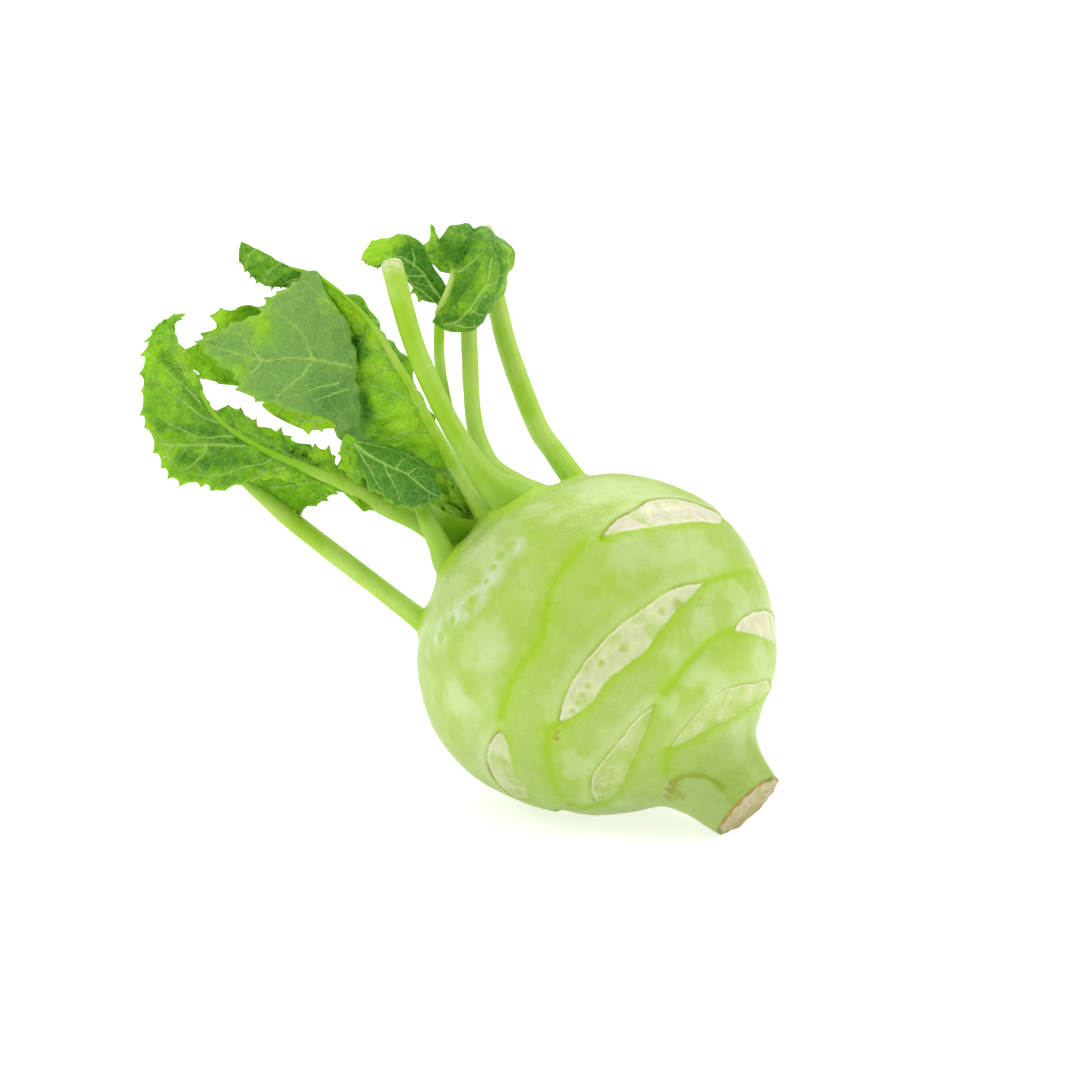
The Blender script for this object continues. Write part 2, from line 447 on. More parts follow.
LARGE_FOLDED_LEAF = {
    "leafy": (40, 75),
    "stalk": [
        [-25, 1, 28, 3, 3], [-28.4, -1, 33.3, 1.9, 2], [-36.2, -2.5, 46.5, 1.7, 1.8],
        [-43.4, -3.5, 59.3, 1.35, 1.4], [-48.7, -4, 69, 1.05, 1.1], [-54, -4, 77.5, 0.95, 1],
        [-60.5, -3.5, 84.8, 0.9, 0.9], [-69, -3, 91.5, 0.8, 0.8], [-79, 0, 94.5, 0.6, 0.6],
    ],
    "blades": [
        LARGE_LEAF_NEAR_HALF, LARGE_LEAF_TIP, LARGE_LEAF_LOBE, LARGE_LEAF_FAR_HALF,
        LARGE_LEAF_BACK_EDGE,
    ],
}
SHORT_LEAF_BLADE = {
    "size": (130, 76), "teeth": (0, 9), "grey": [0.15, 0.1, 0.2],
    "deep": [0.85, 1.05, 1.15, 1.15, 1.15],
    "shades": [[-56.5, 47, 2, 0.9], [-54, 41, 2.5, 0.9], [-57, 39, 3, 0.6]], "crinkle": 0.6,
    "blues": [[-40, 37.5, 2.6, 1], [-45, 36.5, 2, 0.8]], "vein_width": 0.72,
    "net": [
        [[-59.3, -8.5, 50.5], [-59.5, -8.5, 49.5], [-59.5, -8, 48.3]],
        [[-53.5, -9, 49.8], [-55.8, -12, 46.5], [-58, -9, 42.8]],
        [[-46, -9, 47.5], [-50.5, -14, 43.5], [-54, -9.5, 34.9]],
        [[-40.8, -9.5, 43.8], [-45, -15, 40.3], [-48, -11, 31.8]],
        [[-39.3, -11, 40.3], [-41, -14, 38.3], [-42.4, -12, 33.4]],
        [[-37.8, -12.5, 38], [-37.6, -12.5, 37], [-38.2, -12.5, 35.8]],
    ],
    "veins": [
        [[-59.5, 49.8], [-56, 46.8], [-52.4, 44.8], [-49.2, 43.2], [-46.2, 41.9], [-41.8, 38.2],
         [-38.9, 36.8]],
        [[-59, 49.2], [-57, 46.2], [-55, 43], [-53.2, 39.2], [-51.8, 36.8]],
        [[-59, 50], [-54.5, 49.2], [-49.5, 47.8], [-45.5, 46.2], [-42.2, 44]],
        [[-46.2, 42], [-44.5, 43.2], [-42.5, 43.4]],
        [[-52.2, 44.8], [-50.5, 41.2], [-49, 38.2], [-48, 35]],
        [[-49.2, 43.2], [-47.8, 45.2], [-46.2, 46.2]],
    ],
}
SHORT_LEAF_FAR_SIDE = {
    "size": (80, 44), "teeth": (0, 7), "side_veins": 3, "deep": [0.1, 0.1],
    "shades": [[-57.5, 45, 2, 1], [-56, 41, 2.2, 1], [-53.5, 37.5, 2, 0.8]],
    "net": [
        [[-58.8, -8, 51], [-60.5, -7.5, 51.8], [-63, -6, 52.8]],
        [[-57.5, -7.5, 47.8], [-60.5, -7, 47.8], [-64.4, -6, 47.8]],
        [[-55.5, -7, 43.8], [-59.3, -6, 43], [-64.3, -5, 42.3]],
        [[-52, -5, 40], [-57, -3, 39], [-63, -1, 38.5]],
        [[-47, -4.5, 36.5], [-52, -2, 35.8], [-59, 0.5, 35.8]],
    ],
}
SHORT_LEAF_SHEATH = {
    "size": (40, 30),
    "shade": [0, 0.25, 0.5, 0.8], "crinkle": 0.15,
    "net": [
        [[-42.5, -6, 36], [-40.4, -6, 31], [-38.5, -6, 26]],
        [[-37.6, -2.5, 32.9], [-37, -2.5, 30], [-35.8, -3, 25]],
        [[-34.2, -0.5, 31.4], [-34, -0.5, 29], [-33.3, -1, 25]],
        [[-31, 0.5, 30.9], [-31, 0.5, 28.3], [-31, 0, 25]],
        [[-27.5, 1, 30.3], [-28, 1, 27.5], [-29, 1, 25]],
    ],
}
SHORT_FOLDED_LEAF = {
    "leafy": (14, 34), "tint": (-0.7, -0.7),
    "stalk": [
        [-31, -4, 14.5, 3.6, 3.4], [-36.3, -5, 19.3, 3.2, 3], [-38.5, -6, 24.3, 2.7, 2.6],
        [-40.8, -7, 29, 2.4, 2.3], [-43.3, -7, 34, 2.2, 2], [-47.3, -7, 40.8, 1.8, 1.7],
        [-52.3, -7.5, 46, 1.4, 1.4], [-58, -8.3, 49.6, 1, 1],
    ],
    "blades": [SHORT_LEAF_BLADE, SHORT_LEAF_FAR_SIDE, SHORT_LEAF_SHEATH],
}
CURLED_LEAF_DOME = {
    "size": (120, 110),
    "deep": [0.8, 0.65, 0.55, 0.6, 0.75],
    "shades": [[-35, 98, 2.6, 0.6], [-28, 79.5, 2.6, 0.6], [-34, 88, 2, 0.6]],
    "creases": [
        ([[-29.8, 104.5], [-32, 99.5], [-34.3, 95]], 1.8, 1.3),
        ([[-25, 101], [-23, 95], [-24.5, 88], [-28, 83.5]], 1.1, 1.6),
        ([[-35.8, 84], [-32.5, 88.5], [-29.5, 93.5]], 0.9, 1.4),
        ([[-37, 81], [-33, 80.8], [-28, 82]], 0.8, 1.1),
    ],
    "net": [
        [[-40, 0, 80], [-37.5, -3, 78.3], [-34, -4, 77.5], [-30.5, -3, 78.3], [-28, 0, 80.3]],
        [[-38.5, 0, 82.5], [-35.5, -4, 81.8], [-32, -6, 81.8], [-28.5, -5, 82.5], [-26.5, 0, 83]],
        [[-37, 0.5, 85.3], [-34, -5, 85.3], [-30.5, -7, 85.8], [-26.8, -6, 86], [-24.5, 1, 85.8]],
        [[-35.5, 1, 89.5], [-32.5, -4, 89.8], [-28.5, -7, 90.5], [-24.5, -6, 90.8],
         [-21.5, 2, 91.8]],
        [[-36, 2, 94.3], [-31.8, -2, 94.8], [-27.5, -5, 95.8], [-23.3, -5, 96.3], [-20, 3, 96.8]],
        [[-37.5, 4, 98.5], [-33.5, 0, 99.3], [-29, -2, 100], [-24.8, -2, 100.3], [-21.5, 4, 100]],
        [[-39.3, 6, 100.8], [-35.5, 5, 104.3], [-30.8, 4, 105], [-27.3, 5, 103.8],
         [-24.3, 7, 102.3]],
    ],
    "veins": [
        [[-37.2, 79.5], [-34, 80.2], [-31, 83.2], [-28.5, 86.8], [-26.8, 89.5], [-25.8, 93.2],
         [-25.5, 96]],
        [[-26.8, 88.8], [-24.2, 90.5], [-22.8, 91.8]],
        [[-34.8, 79], [-31, 79], [-28.5, 79.5]],
        [[-31, 83.2], [-29, 81.8], [-27.2, 82]],
        [[-34, 92.8], [-31, 94.5], [-28.5, 97], [-26.8, 99.2]],
        [[-35.5, 93], [-33.5, 92.8], [-31, 93.5]],
    ],
}
CURLED_LEAF_HANGING_HALF = {
    "size": (140, 60), "teeth": (0, 10),
    "deep": [1, 1, 0.8, 0.1, -0.6],
    "shades": [[-44.5, 92, 3.6, 0.9], [-41.5, 88, 3.6, 0.8], [-47, 97.5, 3, 0.5], [-54, 99, 4, -0.6]],
    "creases": [
        ([[-37.5, 88], [-41.5, 93], [-46, 98]], 0.9, 1.4),
        ([[-48, 93], [-50, 97], [-50.5, 101]], 0.8, 1.4),
    ],
    "net": [
        [[-36.3, 1, 88.3], [-37.5, 0.5, 86.3], [-39.3, 0, 84.3]],
        [[-38.5, 2, 92], [-40.5, 0.5, 88.8], [-43.5, -1, 84]],
        [[-41, 3, 95.3], [-43.3, 1, 92], [-46.5, -2, 87.8]],
        [[-44, 3, 100], [-46.5, 0, 95.8], [-48.5, -2, 91.3]],
        [[-48, 3, 101.8], [-50, 0.5, 97.8], [-51.5, -1, 93.8]],
        [[-52.3, 3, 101.3], [-53.8, 1, 97.3], [-55.3, 0, 92.5]],
        [[-55.8, 3, 100.8], [-57.3, 2, 97.5], [-58.3, 1, 94.8]],
    ],
    "veins": [
        [[-38.5, 86.5], [-40.5, 88.8], [-42.5, 91.8], [-45, 94.6], [-48, 96.6], [-52.5, 97.6]],
        [[-40, 85.4], [-43.5, 88], [-46.5, 89.6]],
        [[-42.5, 91.5], [-45.5, 91.6], [-48, 91.6]],
        [[-45, 94.4], [-44.5, 96.6], [-45.5, 98.6]],
    ],
}
CURLED_LEAF_SMALL_LOBE = {
    "size": (60, 30), "side_veins": 3, "deep": [0.5, 0.3],
    "net": [
        [[-41, 2.5, 95.3], [-38.5, 2, 93.3], [-34, 4, 91.5]],
        [[-43, 3.5, 99], [-40.5, 2.5, 97.8], [-34.5, 5.5, 96.3]],
        [[-41.5, 4, 100.5], [-39.7, 3.5, 99.9], [-36.8, 6, 99.6]],
        [[-41, 4, 102.3], [-40, 3.8, 101.9], [-38.8, 5, 101.4]],
        [[-41, 4, 104.8], [-40.7, 4, 104.9], [-40.3, 4, 104.8]],
    ],
}
CURLED_TOP_LEAF = {
    "leafy": (68, 76), "specks": 0.7,
    "stalk": [
        [-25, 17, 31, 1.8, 1.8], [-28, 16, 37, 1.6, 1.6], [-34.3, 14, 51, 1.4, 1.4],
        [-37.3, 12, 61.5, 1.4, 1.4], [-38.8, 9, 70.8, 1.4, 1.4], [-38.8, 5, 78.3, 1.4, 1.4],
        [-38.3, 1, 83, 1.4, 1.3], [-37, 0, 86, 1.3, 1.2], [-35.5, 0.5, 90, 1.2, 1],
        [-34.8, 2, 94.3, 0.7, 0.7],
    ],
    "blades": [CURLED_LEAF_DOME, CURLED_LEAF_HANGING_HALF, CURLED_LEAF_SMALL_LOBE],
}

# The young leaves round the growing tip: where each small blade ends, and its half width.
YOUNG_FOOT = [-30.5, 6.5, 29]
YOUNG_BEND = 1.2
YOUNG_LEAVES = [
    ([-40, 4, 46.5], 1.6), ([-37.2, 3.5, 41], 1.8), ([-39.5, 6, 36], 1.8), ([-35.5, 9.5, 43], 1.7),
    ([-38.6, 2.4, 38.4], 1.3), ([-34.2, 3.6, 37.4], 1.3), ([-36.4, 1.6, 34.6], 1.1),
    ([-41, -1.5, 38.5], 1.9), ([-39.6, 0, 43.5], 2.1), ([-36.2, -1, 39.5], 2),
    ([-37.6, -2, 35], 1.6), ([-41.4, 1, 35.8], 1.8), ([-38.2, 0.5, 33.4], 1.7),
    ([-30.8, 5.5, 38], 2), ([-29.4, 4, 34], 1.8), ([-27.8, 2.5, 32.5], 1.8), ([-42, 4.5, 46], 2.8),
    ([-42.6, 3, 38], 2.6),
]

# Which node each plan is for.
LEAVES = {
    "leaf_front_left": FRONT_LEFT_LEAF,
    "leaf_lower_left": LOWER_LEFT_LEAF,
    "leaf_large_folded": LARGE_FOLDED_LEAF,
    "leaf_short_folded": SHORT_FOLDED_LEAF,
    "leaf_curled_top": CURLED_TOP_LEAF,
}
# Each cut stalk's stations, how much its cut end faces the front, and its tint.
CUT_STALKS = {
    "petiole_cut_front": (FRONT_CUT_STALK, 0.35, (-1, 0)),
    "petiole_cut_right": (RIGHT_CUT_STALK, 0.2, (0, 0.7)),
    "petiole_cut_middle": (MIDDLE_CUT_STALK, 0.2, (0.9, 0.8)),
}
STALK_FEET = [stations for stations, _, _ in CUT_STALKS.values()]
STALK_FEET += [leaf["stalk"] for leaf in LEAVES.values()]


# ---- curves and surfaces ------------------------------------------------------------------------


def to_world(points):
    """Millimetres in the side plane as metres in the frame."""
    x, y, z = np.moveaxis(np.asarray(points, float), -1, 0)
    back = y * math.cos(LEAN) + z * math.sin(LEAN)
    up = z * math.cos(LEAN) - y * math.sin(LEAN) + REST_HEIGHT
    return np.stack([x, back, up], axis=-1) / 1000


def spline_weights(places, count):
    """What each of count control points adds to a smooth curve at each place from 0 to 1."""
    position = np.clip(np.asarray(places, float), 0, 1) * (count - 1)
    start = np.minimum(position.astype(int), count - 2)
    t = position - start
    shares = [
        -0.5 * t + t**2 - 0.5 * t**3,
        1 - 2.5 * t**2 + 1.5 * t**3,
        0.5 * t + 2 * t**2 - 1.5 * t**3,
        -0.5 * t**2 + 0.5 * t**3,
    ]
    weights = np.zeros(t.shape + (count + 2,))
    for k, share in enumerate(shares):
        np.put_along_axis(weights, (start + k)[..., None], share[..., None], axis=-1)
    # Past its ends the curve runs on straight.
    weights[..., 1] += 2 * weights[..., 0]
    weights[..., 2] -= weights[..., 0]
    weights[..., -2] += 2 * weights[..., -1]
    weights[..., -3] -= weights[..., -1]
    return weights[..., 1:-1]


def spread(values, places):
    """Values at even places from 0 to 1, as a smooth curve at the given places."""
    return spline_weights(places, len(values)) @ np.asarray(values, float)


def smooth_path(points, count):
    return spread(points, np.linspace(0, 1, count))


def smooth_loop(points, count):
    """A closed path through the points, its last point the same as its first."""
    around = points[-2:] + points + points[:3]
    return spread(around, np.linspace(2, len(points) + 2, count) / (len(around) - 1))


def smoothstep(value, low, high):
    t = np.clip((value - low) / (high - low), 0, 1)
    return t * t * (3 - 2 * t)


def bell(value, width):
    """1 at 0, falling smoothly on both sides to about a third at the width."""
    return np.exp(-((value / width) ** 2))


def along_path(path):
    """How far along a path each of its points is, in its own unit."""
    return np.concatenate([[0], np.cumsum(np.linalg.norm(np.diff(path, axis=0), axis=1))])


def at_share(share, values):
    """Values along a path, read at shares of it from 0 to 1."""
    return np.interp(share, np.linspace(0, 1, len(values)), values)


def distance_to_path(points, path):
    """How far each point is from a path, and how far along it (0 to 1) its nearest place is."""
    nearest = np.full(len(points), np.inf)
    along = np.zeros(len(points))
    for k in range(len(path) - 1):
        step = path[k + 1] - path[k]
        share = np.clip((points - path[k]) @ step / max(step @ step, 1e-9), 0, 1)
        gap = np.linalg.norm(points - path[k] - share[:, None] * step, axis=1)
        closer = gap < nearest
        nearest[closer] = gap[closer]
        along[closer] = (k + share[closer]) / (len(path) - 1)
    return nearest, along


def is_inside(points, loop):
    """Whether each flat point lies inside a closed loop."""
    inside = np.zeros(len(points), bool)
    for (x0, y0), (x1, y1) in zip(loop[:-1], loop[1:]):
        crosses = (y0 > points[:, 1]) != (y1 > points[:, 1])
        rise = (y1 - y0) if y1 != y0 else 1e-9
        inside ^= crosses & (points[:, 0] < x0 + (points[:, 1] - y0) * (x1 - x0) / rise)
    return inside


def unevenness(points, size, seed):
    """A smooth irregular value from about -1 to 1 that changes over the given size in mm."""
    draw = np.random.default_rng(seed)
    total = np.zeros(points.shape[:-1])
    for _ in range(WAVES):
        direction = draw.normal(size=3)
        direction *= 2 * math.pi / (size * draw.uniform(0.7, 1.8) * np.linalg.norm(direction))
        total += np.sin(points @ direction + draw.uniform(0, 2 * math.pi))
    return total / math.sqrt(WAVES)


# ---- meshes -------------------------------------------------------------------------------------


def grid_faces(rows, columns, closed):
    """Quads between the points of a grid, which meets itself sideways where it is closed."""
    row, column = np.meshgrid(np.arange(rows - 1), np.arange(columns - (not closed)), indexing="ij")
    here = row * columns
    after = (column + 1) % columns
    corners = [here + column, here + after, here + columns + after, here + columns + column]
    return np.stack(corners, axis=-1).reshape(-1, 4)


def tube_faces(rows, sides):
    """Faces of a tube whose ends close to two points that come after its own."""
    faces = grid_faces(rows, sides, closed=True).tolist()
    count = rows * sides
    for k in range(sides):
        after = (k + 1) % sides
        faces.append([count, after, k])
        faces.append([count + 1, count - sides + k, count - sides + after])
    return faces


def patch(points, faces, marks, material=0):
    """A closed stretch of mesh with its faces turned outwards, and its marks for the materials."""
    corners = np.array([face[:3] for face in faces])
    a, b, c = (points[corners[:, k]] for k in range(3))
    if np.einsum("ij,ij->i", a - points.mean(0), np.cross(b - a, c - a)).sum() < 0:
        faces = [face[::-1] for face in faces]
    return {"points": points, "faces": faces, "marks": marks, "material": material}


def piece(name, node, patches, materials):
    """One object of the patches, which rides on the root and stands for a node."""
    shapes = {mark: values.shape[1:] for part in patches for mark, values in part["marks"].items()}
    faces, indices = [], []
    marks = {mark: [] for mark in sorted(shapes)}
    count = 0
    for part in patches:
        faces += [[corner + count for corner in face] for face in part["faces"]]
        indices += [part["material"]] * len(part["faces"])
        for mark in marks:
            missing = np.zeros((len(part["points"]),) + shapes[mark])
            marks[mark].append(part["marks"].get(mark, missing))
        count += len(part["points"])
    points = np.concatenate([part["points"] for part in patches])
    mesh = bpy.data.meshes.new(name)
    mesh.from_pydata(to_world(points).tolist(), [], faces)
    mesh.polygons.foreach_set("material_index", indices)
    mesh.polygons.foreach_set("use_smooth", [True] * len(faces))
    for mark, values in marks.items():
        kind, field = ("FLOAT_VECTOR", "vector") if shapes[mark] else ("FLOAT", "value")
        made = mesh.attributes.new(mark, kind, "POINT")
        made.data.foreach_set(field, np.concatenate(values).astype(np.float32).ravel())
    for material in materials:
        mesh.materials.append(material)
    mesh.update()
    made = add_object(name, mesh)
    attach(made, "root")
    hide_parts(node)


def add_object(name, data):
    made = bpy.data.objects.new(name, data)
    bpy.context.scene.collection.objects.link(made)
    return made


# ---- bulb ---------------------------------------------------------------------------------------

OUTLINE = smooth_path(BULB_OUTLINE[: CUT_LIP + 1], 400)

# The bulb's own directions: along its growth, and two across it.
GROWTH = np.array([
    -math.cos(CROWN_RISE) * math.cos(CROWN_TURN),
    math.sin(CROWN_TURN),
    math.sin(CROWN_RISE) * math.cos(CROWN_TURN),
])
SIDE = np.array([math.sin(CROWN_RISE), 0, math.cos(CROWN_RISE)])
BACK = np.cross(GROWTH, SIDE)


def outline_rows(count):
    """Rows [height, radius, offset] evenly spaced along the outline, how far along it each row is
    from the lip of the cut, and which way the skin faces there."""
    fine = smooth_path(BULB_OUTLINE, 40 * (len(BULB_OUTLINE) - 1) + 1)
    length = along_path(fine[:, :2])
    places = np.linspace(0, length[-1], count)
    rows = np.stack([np.interp(places, length, fine[:, k]) for k in range(3)], axis=1)
    slope = np.gradient(rows[:, :2], axis=0)
    outwards = np.stack([slope[:, 1], -slope[:, 0]], axis=1)
    outwards /= np.linalg.norm(outwards, axis=1)[:, None]
    return rows, places - length[40 * CUT_LIP], outwards


def outline_at(heights):
    """The skin's radius and offset, of which it has one each down to the lip of the cut."""
    return [np.interp(-heights, -OUTLINE[:, 0], OUTLINE[:, k]) for k in (1, 2)]


def bulb_points(height, radius, offset, angle):
    height, radius, offset, angle = np.broadcast_arrays(height, radius, offset, angle)
    return (
        height[..., None] * GROWTH
        + (offset + radius * np.cos(angle))[..., None] * SIDE
        + (radius * np.sin(angle))[..., None] * BACK
    )


def skin_points(heights, degrees):
    return bulb_points(heights, *outline_at(heights), np.radians(degrees))


def loop_marks(points, heights, degrees, loop):
    """How deep inside a loop on the skin each point lies, in mm, below 0 outside it, and whether
    the nearest part of its edge is on the crown's side (1) or on the root's side (-1)."""
    edge = smooth_loop(loop, 12 * len(loop))
    middle = edge[:, 1].mean()
    turned = (degrees - middle + 540) % 360 - 180 + middle
    low, high = edge.min(0) - LOOP_MARGINS[0], edge.max(0) + LOOP_MARGINS[1]
    near = (heights > low[0]) & (heights < high[0]) & (turned > low[1]) & (turned < high[1])
    gap, along = distance_to_path(points[near], skin_points(edge[:, 0], edge[:, 1]))
    inside = is_inside(np.stack([heights[near], turned[near]], axis=1), edge)
    depth = np.full(len(points), -FAR)
    depth[near] = np.where(inside, gap, -gap)

    around = np.radians(edge[:, 1]) * outline_at(edge[:, 0])[0]
    step = np.gradient(np.stack([edge[:, 0], around], axis=1), axis=0)
    clockwise = np.sum(edge[:-1, 0] * edge[1:, 1] - edge[1:, 0] * edge[:-1, 1])
    up = step[:, 1] / np.linalg.norm(step, axis=1) * np.sign(clockwise)
    upper = np.zeros(len(points))
    upper[near] = at_share(along, up)
    return depth, upper


def scar_marks(points, heights, degrees):
    """Depth inside the nearest scar, the side of its edge, and how bare and pink its flesh is."""
    found = {"scar": np.full(len(points), -FAR)}
    found.update({mark: np.zeros(len(points)) for mark in ("upper", "bare", "pink")})
    for edge, bare, pink in SCARS:
        depth, upper = loop_marks(points, heights, degrees, edge)
        nearer = depth > found["scar"]
        found["scar"][nearer] = depth[nearer]
        found["upper"][nearer] = upper[nearer]
        found["bare"][nearer] = bare
        found["pink"][nearer] = pink
    return found


def line_distance(points, line):
    path = smooth_path(line, 40)
    return distance_to_path(points, skin_points(path[:, 0], path[:, 1]))[0]


def stalk_closeness(points):
    """How far each point of the skin is from the nearest stalk's side, outside the skin."""
    nearest = np.full(len(points), FAR)
    for stations in STALK_FEET:
        # The skin is near the first few stations only.
        path = smooth_path(stations[:4], 60)
        height = path[:, :3] @ GROWTH
        radius, offset = outline_at(height)
        out = np.hypot(path[:, :3] @ SIDE - offset, path[:, :3] @ BACK)
        path = path[(out > radius - 0.5) | (height > OUTLINE[0, 0])]
        gap, along = distance_to_path(points, path[:, :3])
        nearest = np.minimum(nearest, gap - at_share(along, path[:, 3]))
    return nearest


def bulb_relief(base, height, degrees, past):
    """How far each point stands out from the plain outline, in mm, and its marks. past is how far
    it lies past the lip of the cut."""
    marks = scar_marks(base, height, degrees)
    marks["facet"] = loop_marks(base, height, degrees, STUB_FACET)[0]
    marks["line"] = np.min([line_distance(base, path) for path in LIME_LINES], axis=0)
    marks["band"] = line_distance(base, PALE_BAND)
    marks["crease"] = line_distance(base, STUB_FACET[:5])
    marks["past_lip"] = past
    stalk = stalk_closeness(base)
    marks["stalk_near"] = np.clip(1 - stalk / COLLAR_TINT_REACH, 0, 1)

    scar, upper, line = (marks[mark] for mark in ("scar", "upper", "line"))
    relief = -SCAR_DEPTH * smoothstep(scar, -0.1, 1.3)
    relief += LEDGE_HEIGHT * bell(scar + 0.9, 1.3) * np.clip(upper, 0, 1)
    relief -= SHOULDER_DEPTH * bell(np.maximum(-scar, 0), 3.5) * np.clip(-upper, 0, 1)
    relief -= LINE_DEPTH * bell(line, 1.1) * (scar < 0)
    relief -= LINE_HOLLOW * bell(line, 5)
    relief -= FACET_DEPTH * smoothstep(marks["facet"], 0, 3)
    relief += COLLAR_HEIGHT * np.clip(1 - stalk / COLLAR_REACH, 0, 1) ** 2
    relief += sum(depth * unevenness(base, size, seed) for depth, size, seed in SKIN_WAVES)
    rough = CUT_ROUGHNESS * (1 + unevenness(base, 1.6, 6)) * smoothstep(past, 1, 3)
    relief = np.where(past < 0, relief, -rough)
    return relief + LIP_WAVE * bell(past, 1.2) * unevenness(base, 3, 5), marks


def keep_above_ground(points):
    """Points below the surface that the bulb rests on are lifted onto it."""
    depth = np.minimum(to_world(points)[:, 2] * 1000, 0)
    up = np.array([0, math.sin(-LEAN), math.cos(LEAN)])
    return points - depth[:, None] * up


def bulb_patch():
    rows, past_lip, outwards = outline_rows(BULB_ROWS)
    turn = np.linspace(0, 2 * math.pi, BULB_SIDES, endpoint=False) - math.pi
    angle = turn - FRONT_DENSITY * np.sin(turn + math.pi / 2)
    heights, radii, offsets = (rows[1:-1, k, None] for k in range(3))
    base = bulb_points(heights, radii, offsets, angle).reshape(-1, 3)
    shape = (len(heights), len(angle))
    height, degrees, past = (
        np.broadcast_to(values, shape).ravel()
        for values in (heights, np.degrees(angle), past_lip[1:-1, None])
    )
    relief, marks = bulb_relief(base, height, degrees, past)
    ring = bulb_points(0, 1, 0, angle)
    facing = outwards[1:-1, 0, None, None] * GROWTH + outwards[1:-1, 1, None, None] * ring
    ends = [bulb_points(rows[k, 0], 0.0, rows[k, 2], 0.0) for k in (0, -1)]
    points = np.concatenate([base + relief[:, None] * facing.reshape(-1, 3), ends])
    marks = {mark: np.append(values, values[[0, -1]]) for mark, values in marks.items()}
    return patch(keep_above_ground(points), tube_faces(*shape), marks)


# ---- stalks -------------------------------------------------------------------------------------

# How a stalk ends: [share of its width, mm past its last station].
CUT_END = [
    (0.99, 0.4), (0.94, 0.85), (0.84, 1.2), (0.6, CUT_ROUNDING), (0.3, CUT_ROUNDING + 0.02),
    (0.0, CUT_ROUNDING + 0.02),
]
POINTED_END = [(0.8, 0.35), (0.45, 0.62), (0.0, 0.75)]


def stalk_patch(stations, seed, cut_tilt=None, leafy=None, tint=(0, 0), specks=0):
    """An oval stalk through its stations. cut_tilt is how much its cut end faces the front. One
    with none is a leaf's, and closes in a point. leafy, tint and specks are as in the plans."""
    cut = cut_tilt is not None
    path = smooth_path(stations, STALK_RINGS)
    length = along_path(path[:, :3])
    if cut:
        path = path[length < length[-1] - CUT_ROUNDING]
        length = length[: len(path)]
    line = path[:, :3]
    tangent = np.gradient(line, axis=0)
    tangent /= np.linalg.norm(tangent, axis=1)[:, None]
    across = np.cross(tangent, [0, 1, 0])
    across /= np.linalg.norm(across, axis=1)[:, None]
    through = np.cross(across, tangent)
    leafward = np.zeros(len(path)) if cut else smoothstep(length, *leafy)
    foot_flare = 0 if cut else FOOT_FLARE

    draw = np.random.default_rng(seed)
    turn = np.linspace(0, 2 * math.pi, STALK_SIDES, endpoint=False)
    ridges = sum(RIDGE_HEIGHT * np.cos(k * turn + draw.uniform(0, 6)) for k in RIDGES)
    shape = np.stack([np.sin(turn), np.cos(turn)], axis=1) * (1 + ridges)[:, None]

    end = CUT_END if cut else POINTED_END
    row = np.append(np.arange(len(path)), [len(path) - 1] * (len(end) - 1))
    width, past_end = np.concatenate([[(1.0, 0.0)] * len(path), end[:-1]]).T
    width = width * (1 + foot_flare * bell(length, FLARE_LENGTH))[row]
    width = width * (1 - MIDRIB_THINNING * leafward)[row]
    flat = shape * (path[row, 3:5] * width[:, None])[:, None]
    near_end = smoothstep(length, length[-1] - CUT_TILT_LENGTH, length[-1])[row, None]
    rise = past_end[:, None] - (cut_tilt or 0) * near_end * flat[..., 1]
    points = line[row, None] + flat[..., :1] * across[row, None] + flat[..., 1:] * through[row, None]
    points += rise[..., None] * tangent[row, None]
    points = points.reshape(-1, 3)
    points[:, 0] += STALK_WAVE * unevenness(points, 7, seed)
    points = np.concatenate([points, [line[0], line[-1] + end[-1][1] * tangent[-1]]])

    length = length[row]
    marks = {
        "near_foot": np.exp(-length / FOOT_FADE),
        "pith": cut * (1 - smoothstep(length[-1] - length - past_end, -1, PITH_DEPTH)),
        "near_leaf": leafward[row],
        "tint": tint[0] + (tint[1] - tint[0]) * length / length[-1],
        "specks": np.full(len(row), specks),
    }
    marks = {
        mark: np.append(np.repeat(values, STALK_SIDES), values[[0, -1]])
        for mark, values in marks.items()
    }
    marks["flank"] = np.append(np.tile(np.clip(-np.sin(turn), 0, 1) ** 1.5, len(row)), [0, 0])
    return patch(points, tube_faces(len(row), STALK_SIDES), marks)


# ---- blades -------------------------------------------------------------------------------------


def tooth_places(count, seed):
    """Where along an edge its teeth are, from 0 to 1, and how big each is."""
    draw = np.random.default_rng(seed)
    shifts = draw.uniform(-TOOTH_SHIFT, TOOTH_SHIFT, count + 3)
    return (np.arange(-1, count + 2) + shifts) / count, draw.uniform(*TOOTH_SIZES, count + 3)


def tooth_depths(places, count, seed):
    """How far the edge lies inside the tips of its teeth, as a share of a tooth's depth: pointed
    teeth with round bays between them, and a small tooth in each bay."""
    main, sizes = tooth_places(count, seed)
    k = np.searchsorted(main, places, side="right") - 1
    within = (places - main[k]) / (main[k + 1] - main[k])
    size = sizes[k] * (1 - within) + sizes[k + 1] * within
    bay = 1 - np.abs(2 * within - 1) ** 1.6
    small = 1 - np.abs(2 * ((within * 2) % 1) - 1) ** 1.6
    lobe = 0.5 + 0.5 * np.sin(places * count * 1.7 + 0.8 * np.sin(places * count * 0.9 + seed))
    return size * (0.85 * bay + 0.2 * small) + LOBING * lobe


def tooth_tips(places, count, seed):
    main, _ = tooth_places(count, seed)
    gap = np.min(np.abs(places[:, None] - main[None]), axis=1) * count
    return np.clip(1 - gap / TIP_SHARE, 0, 1)


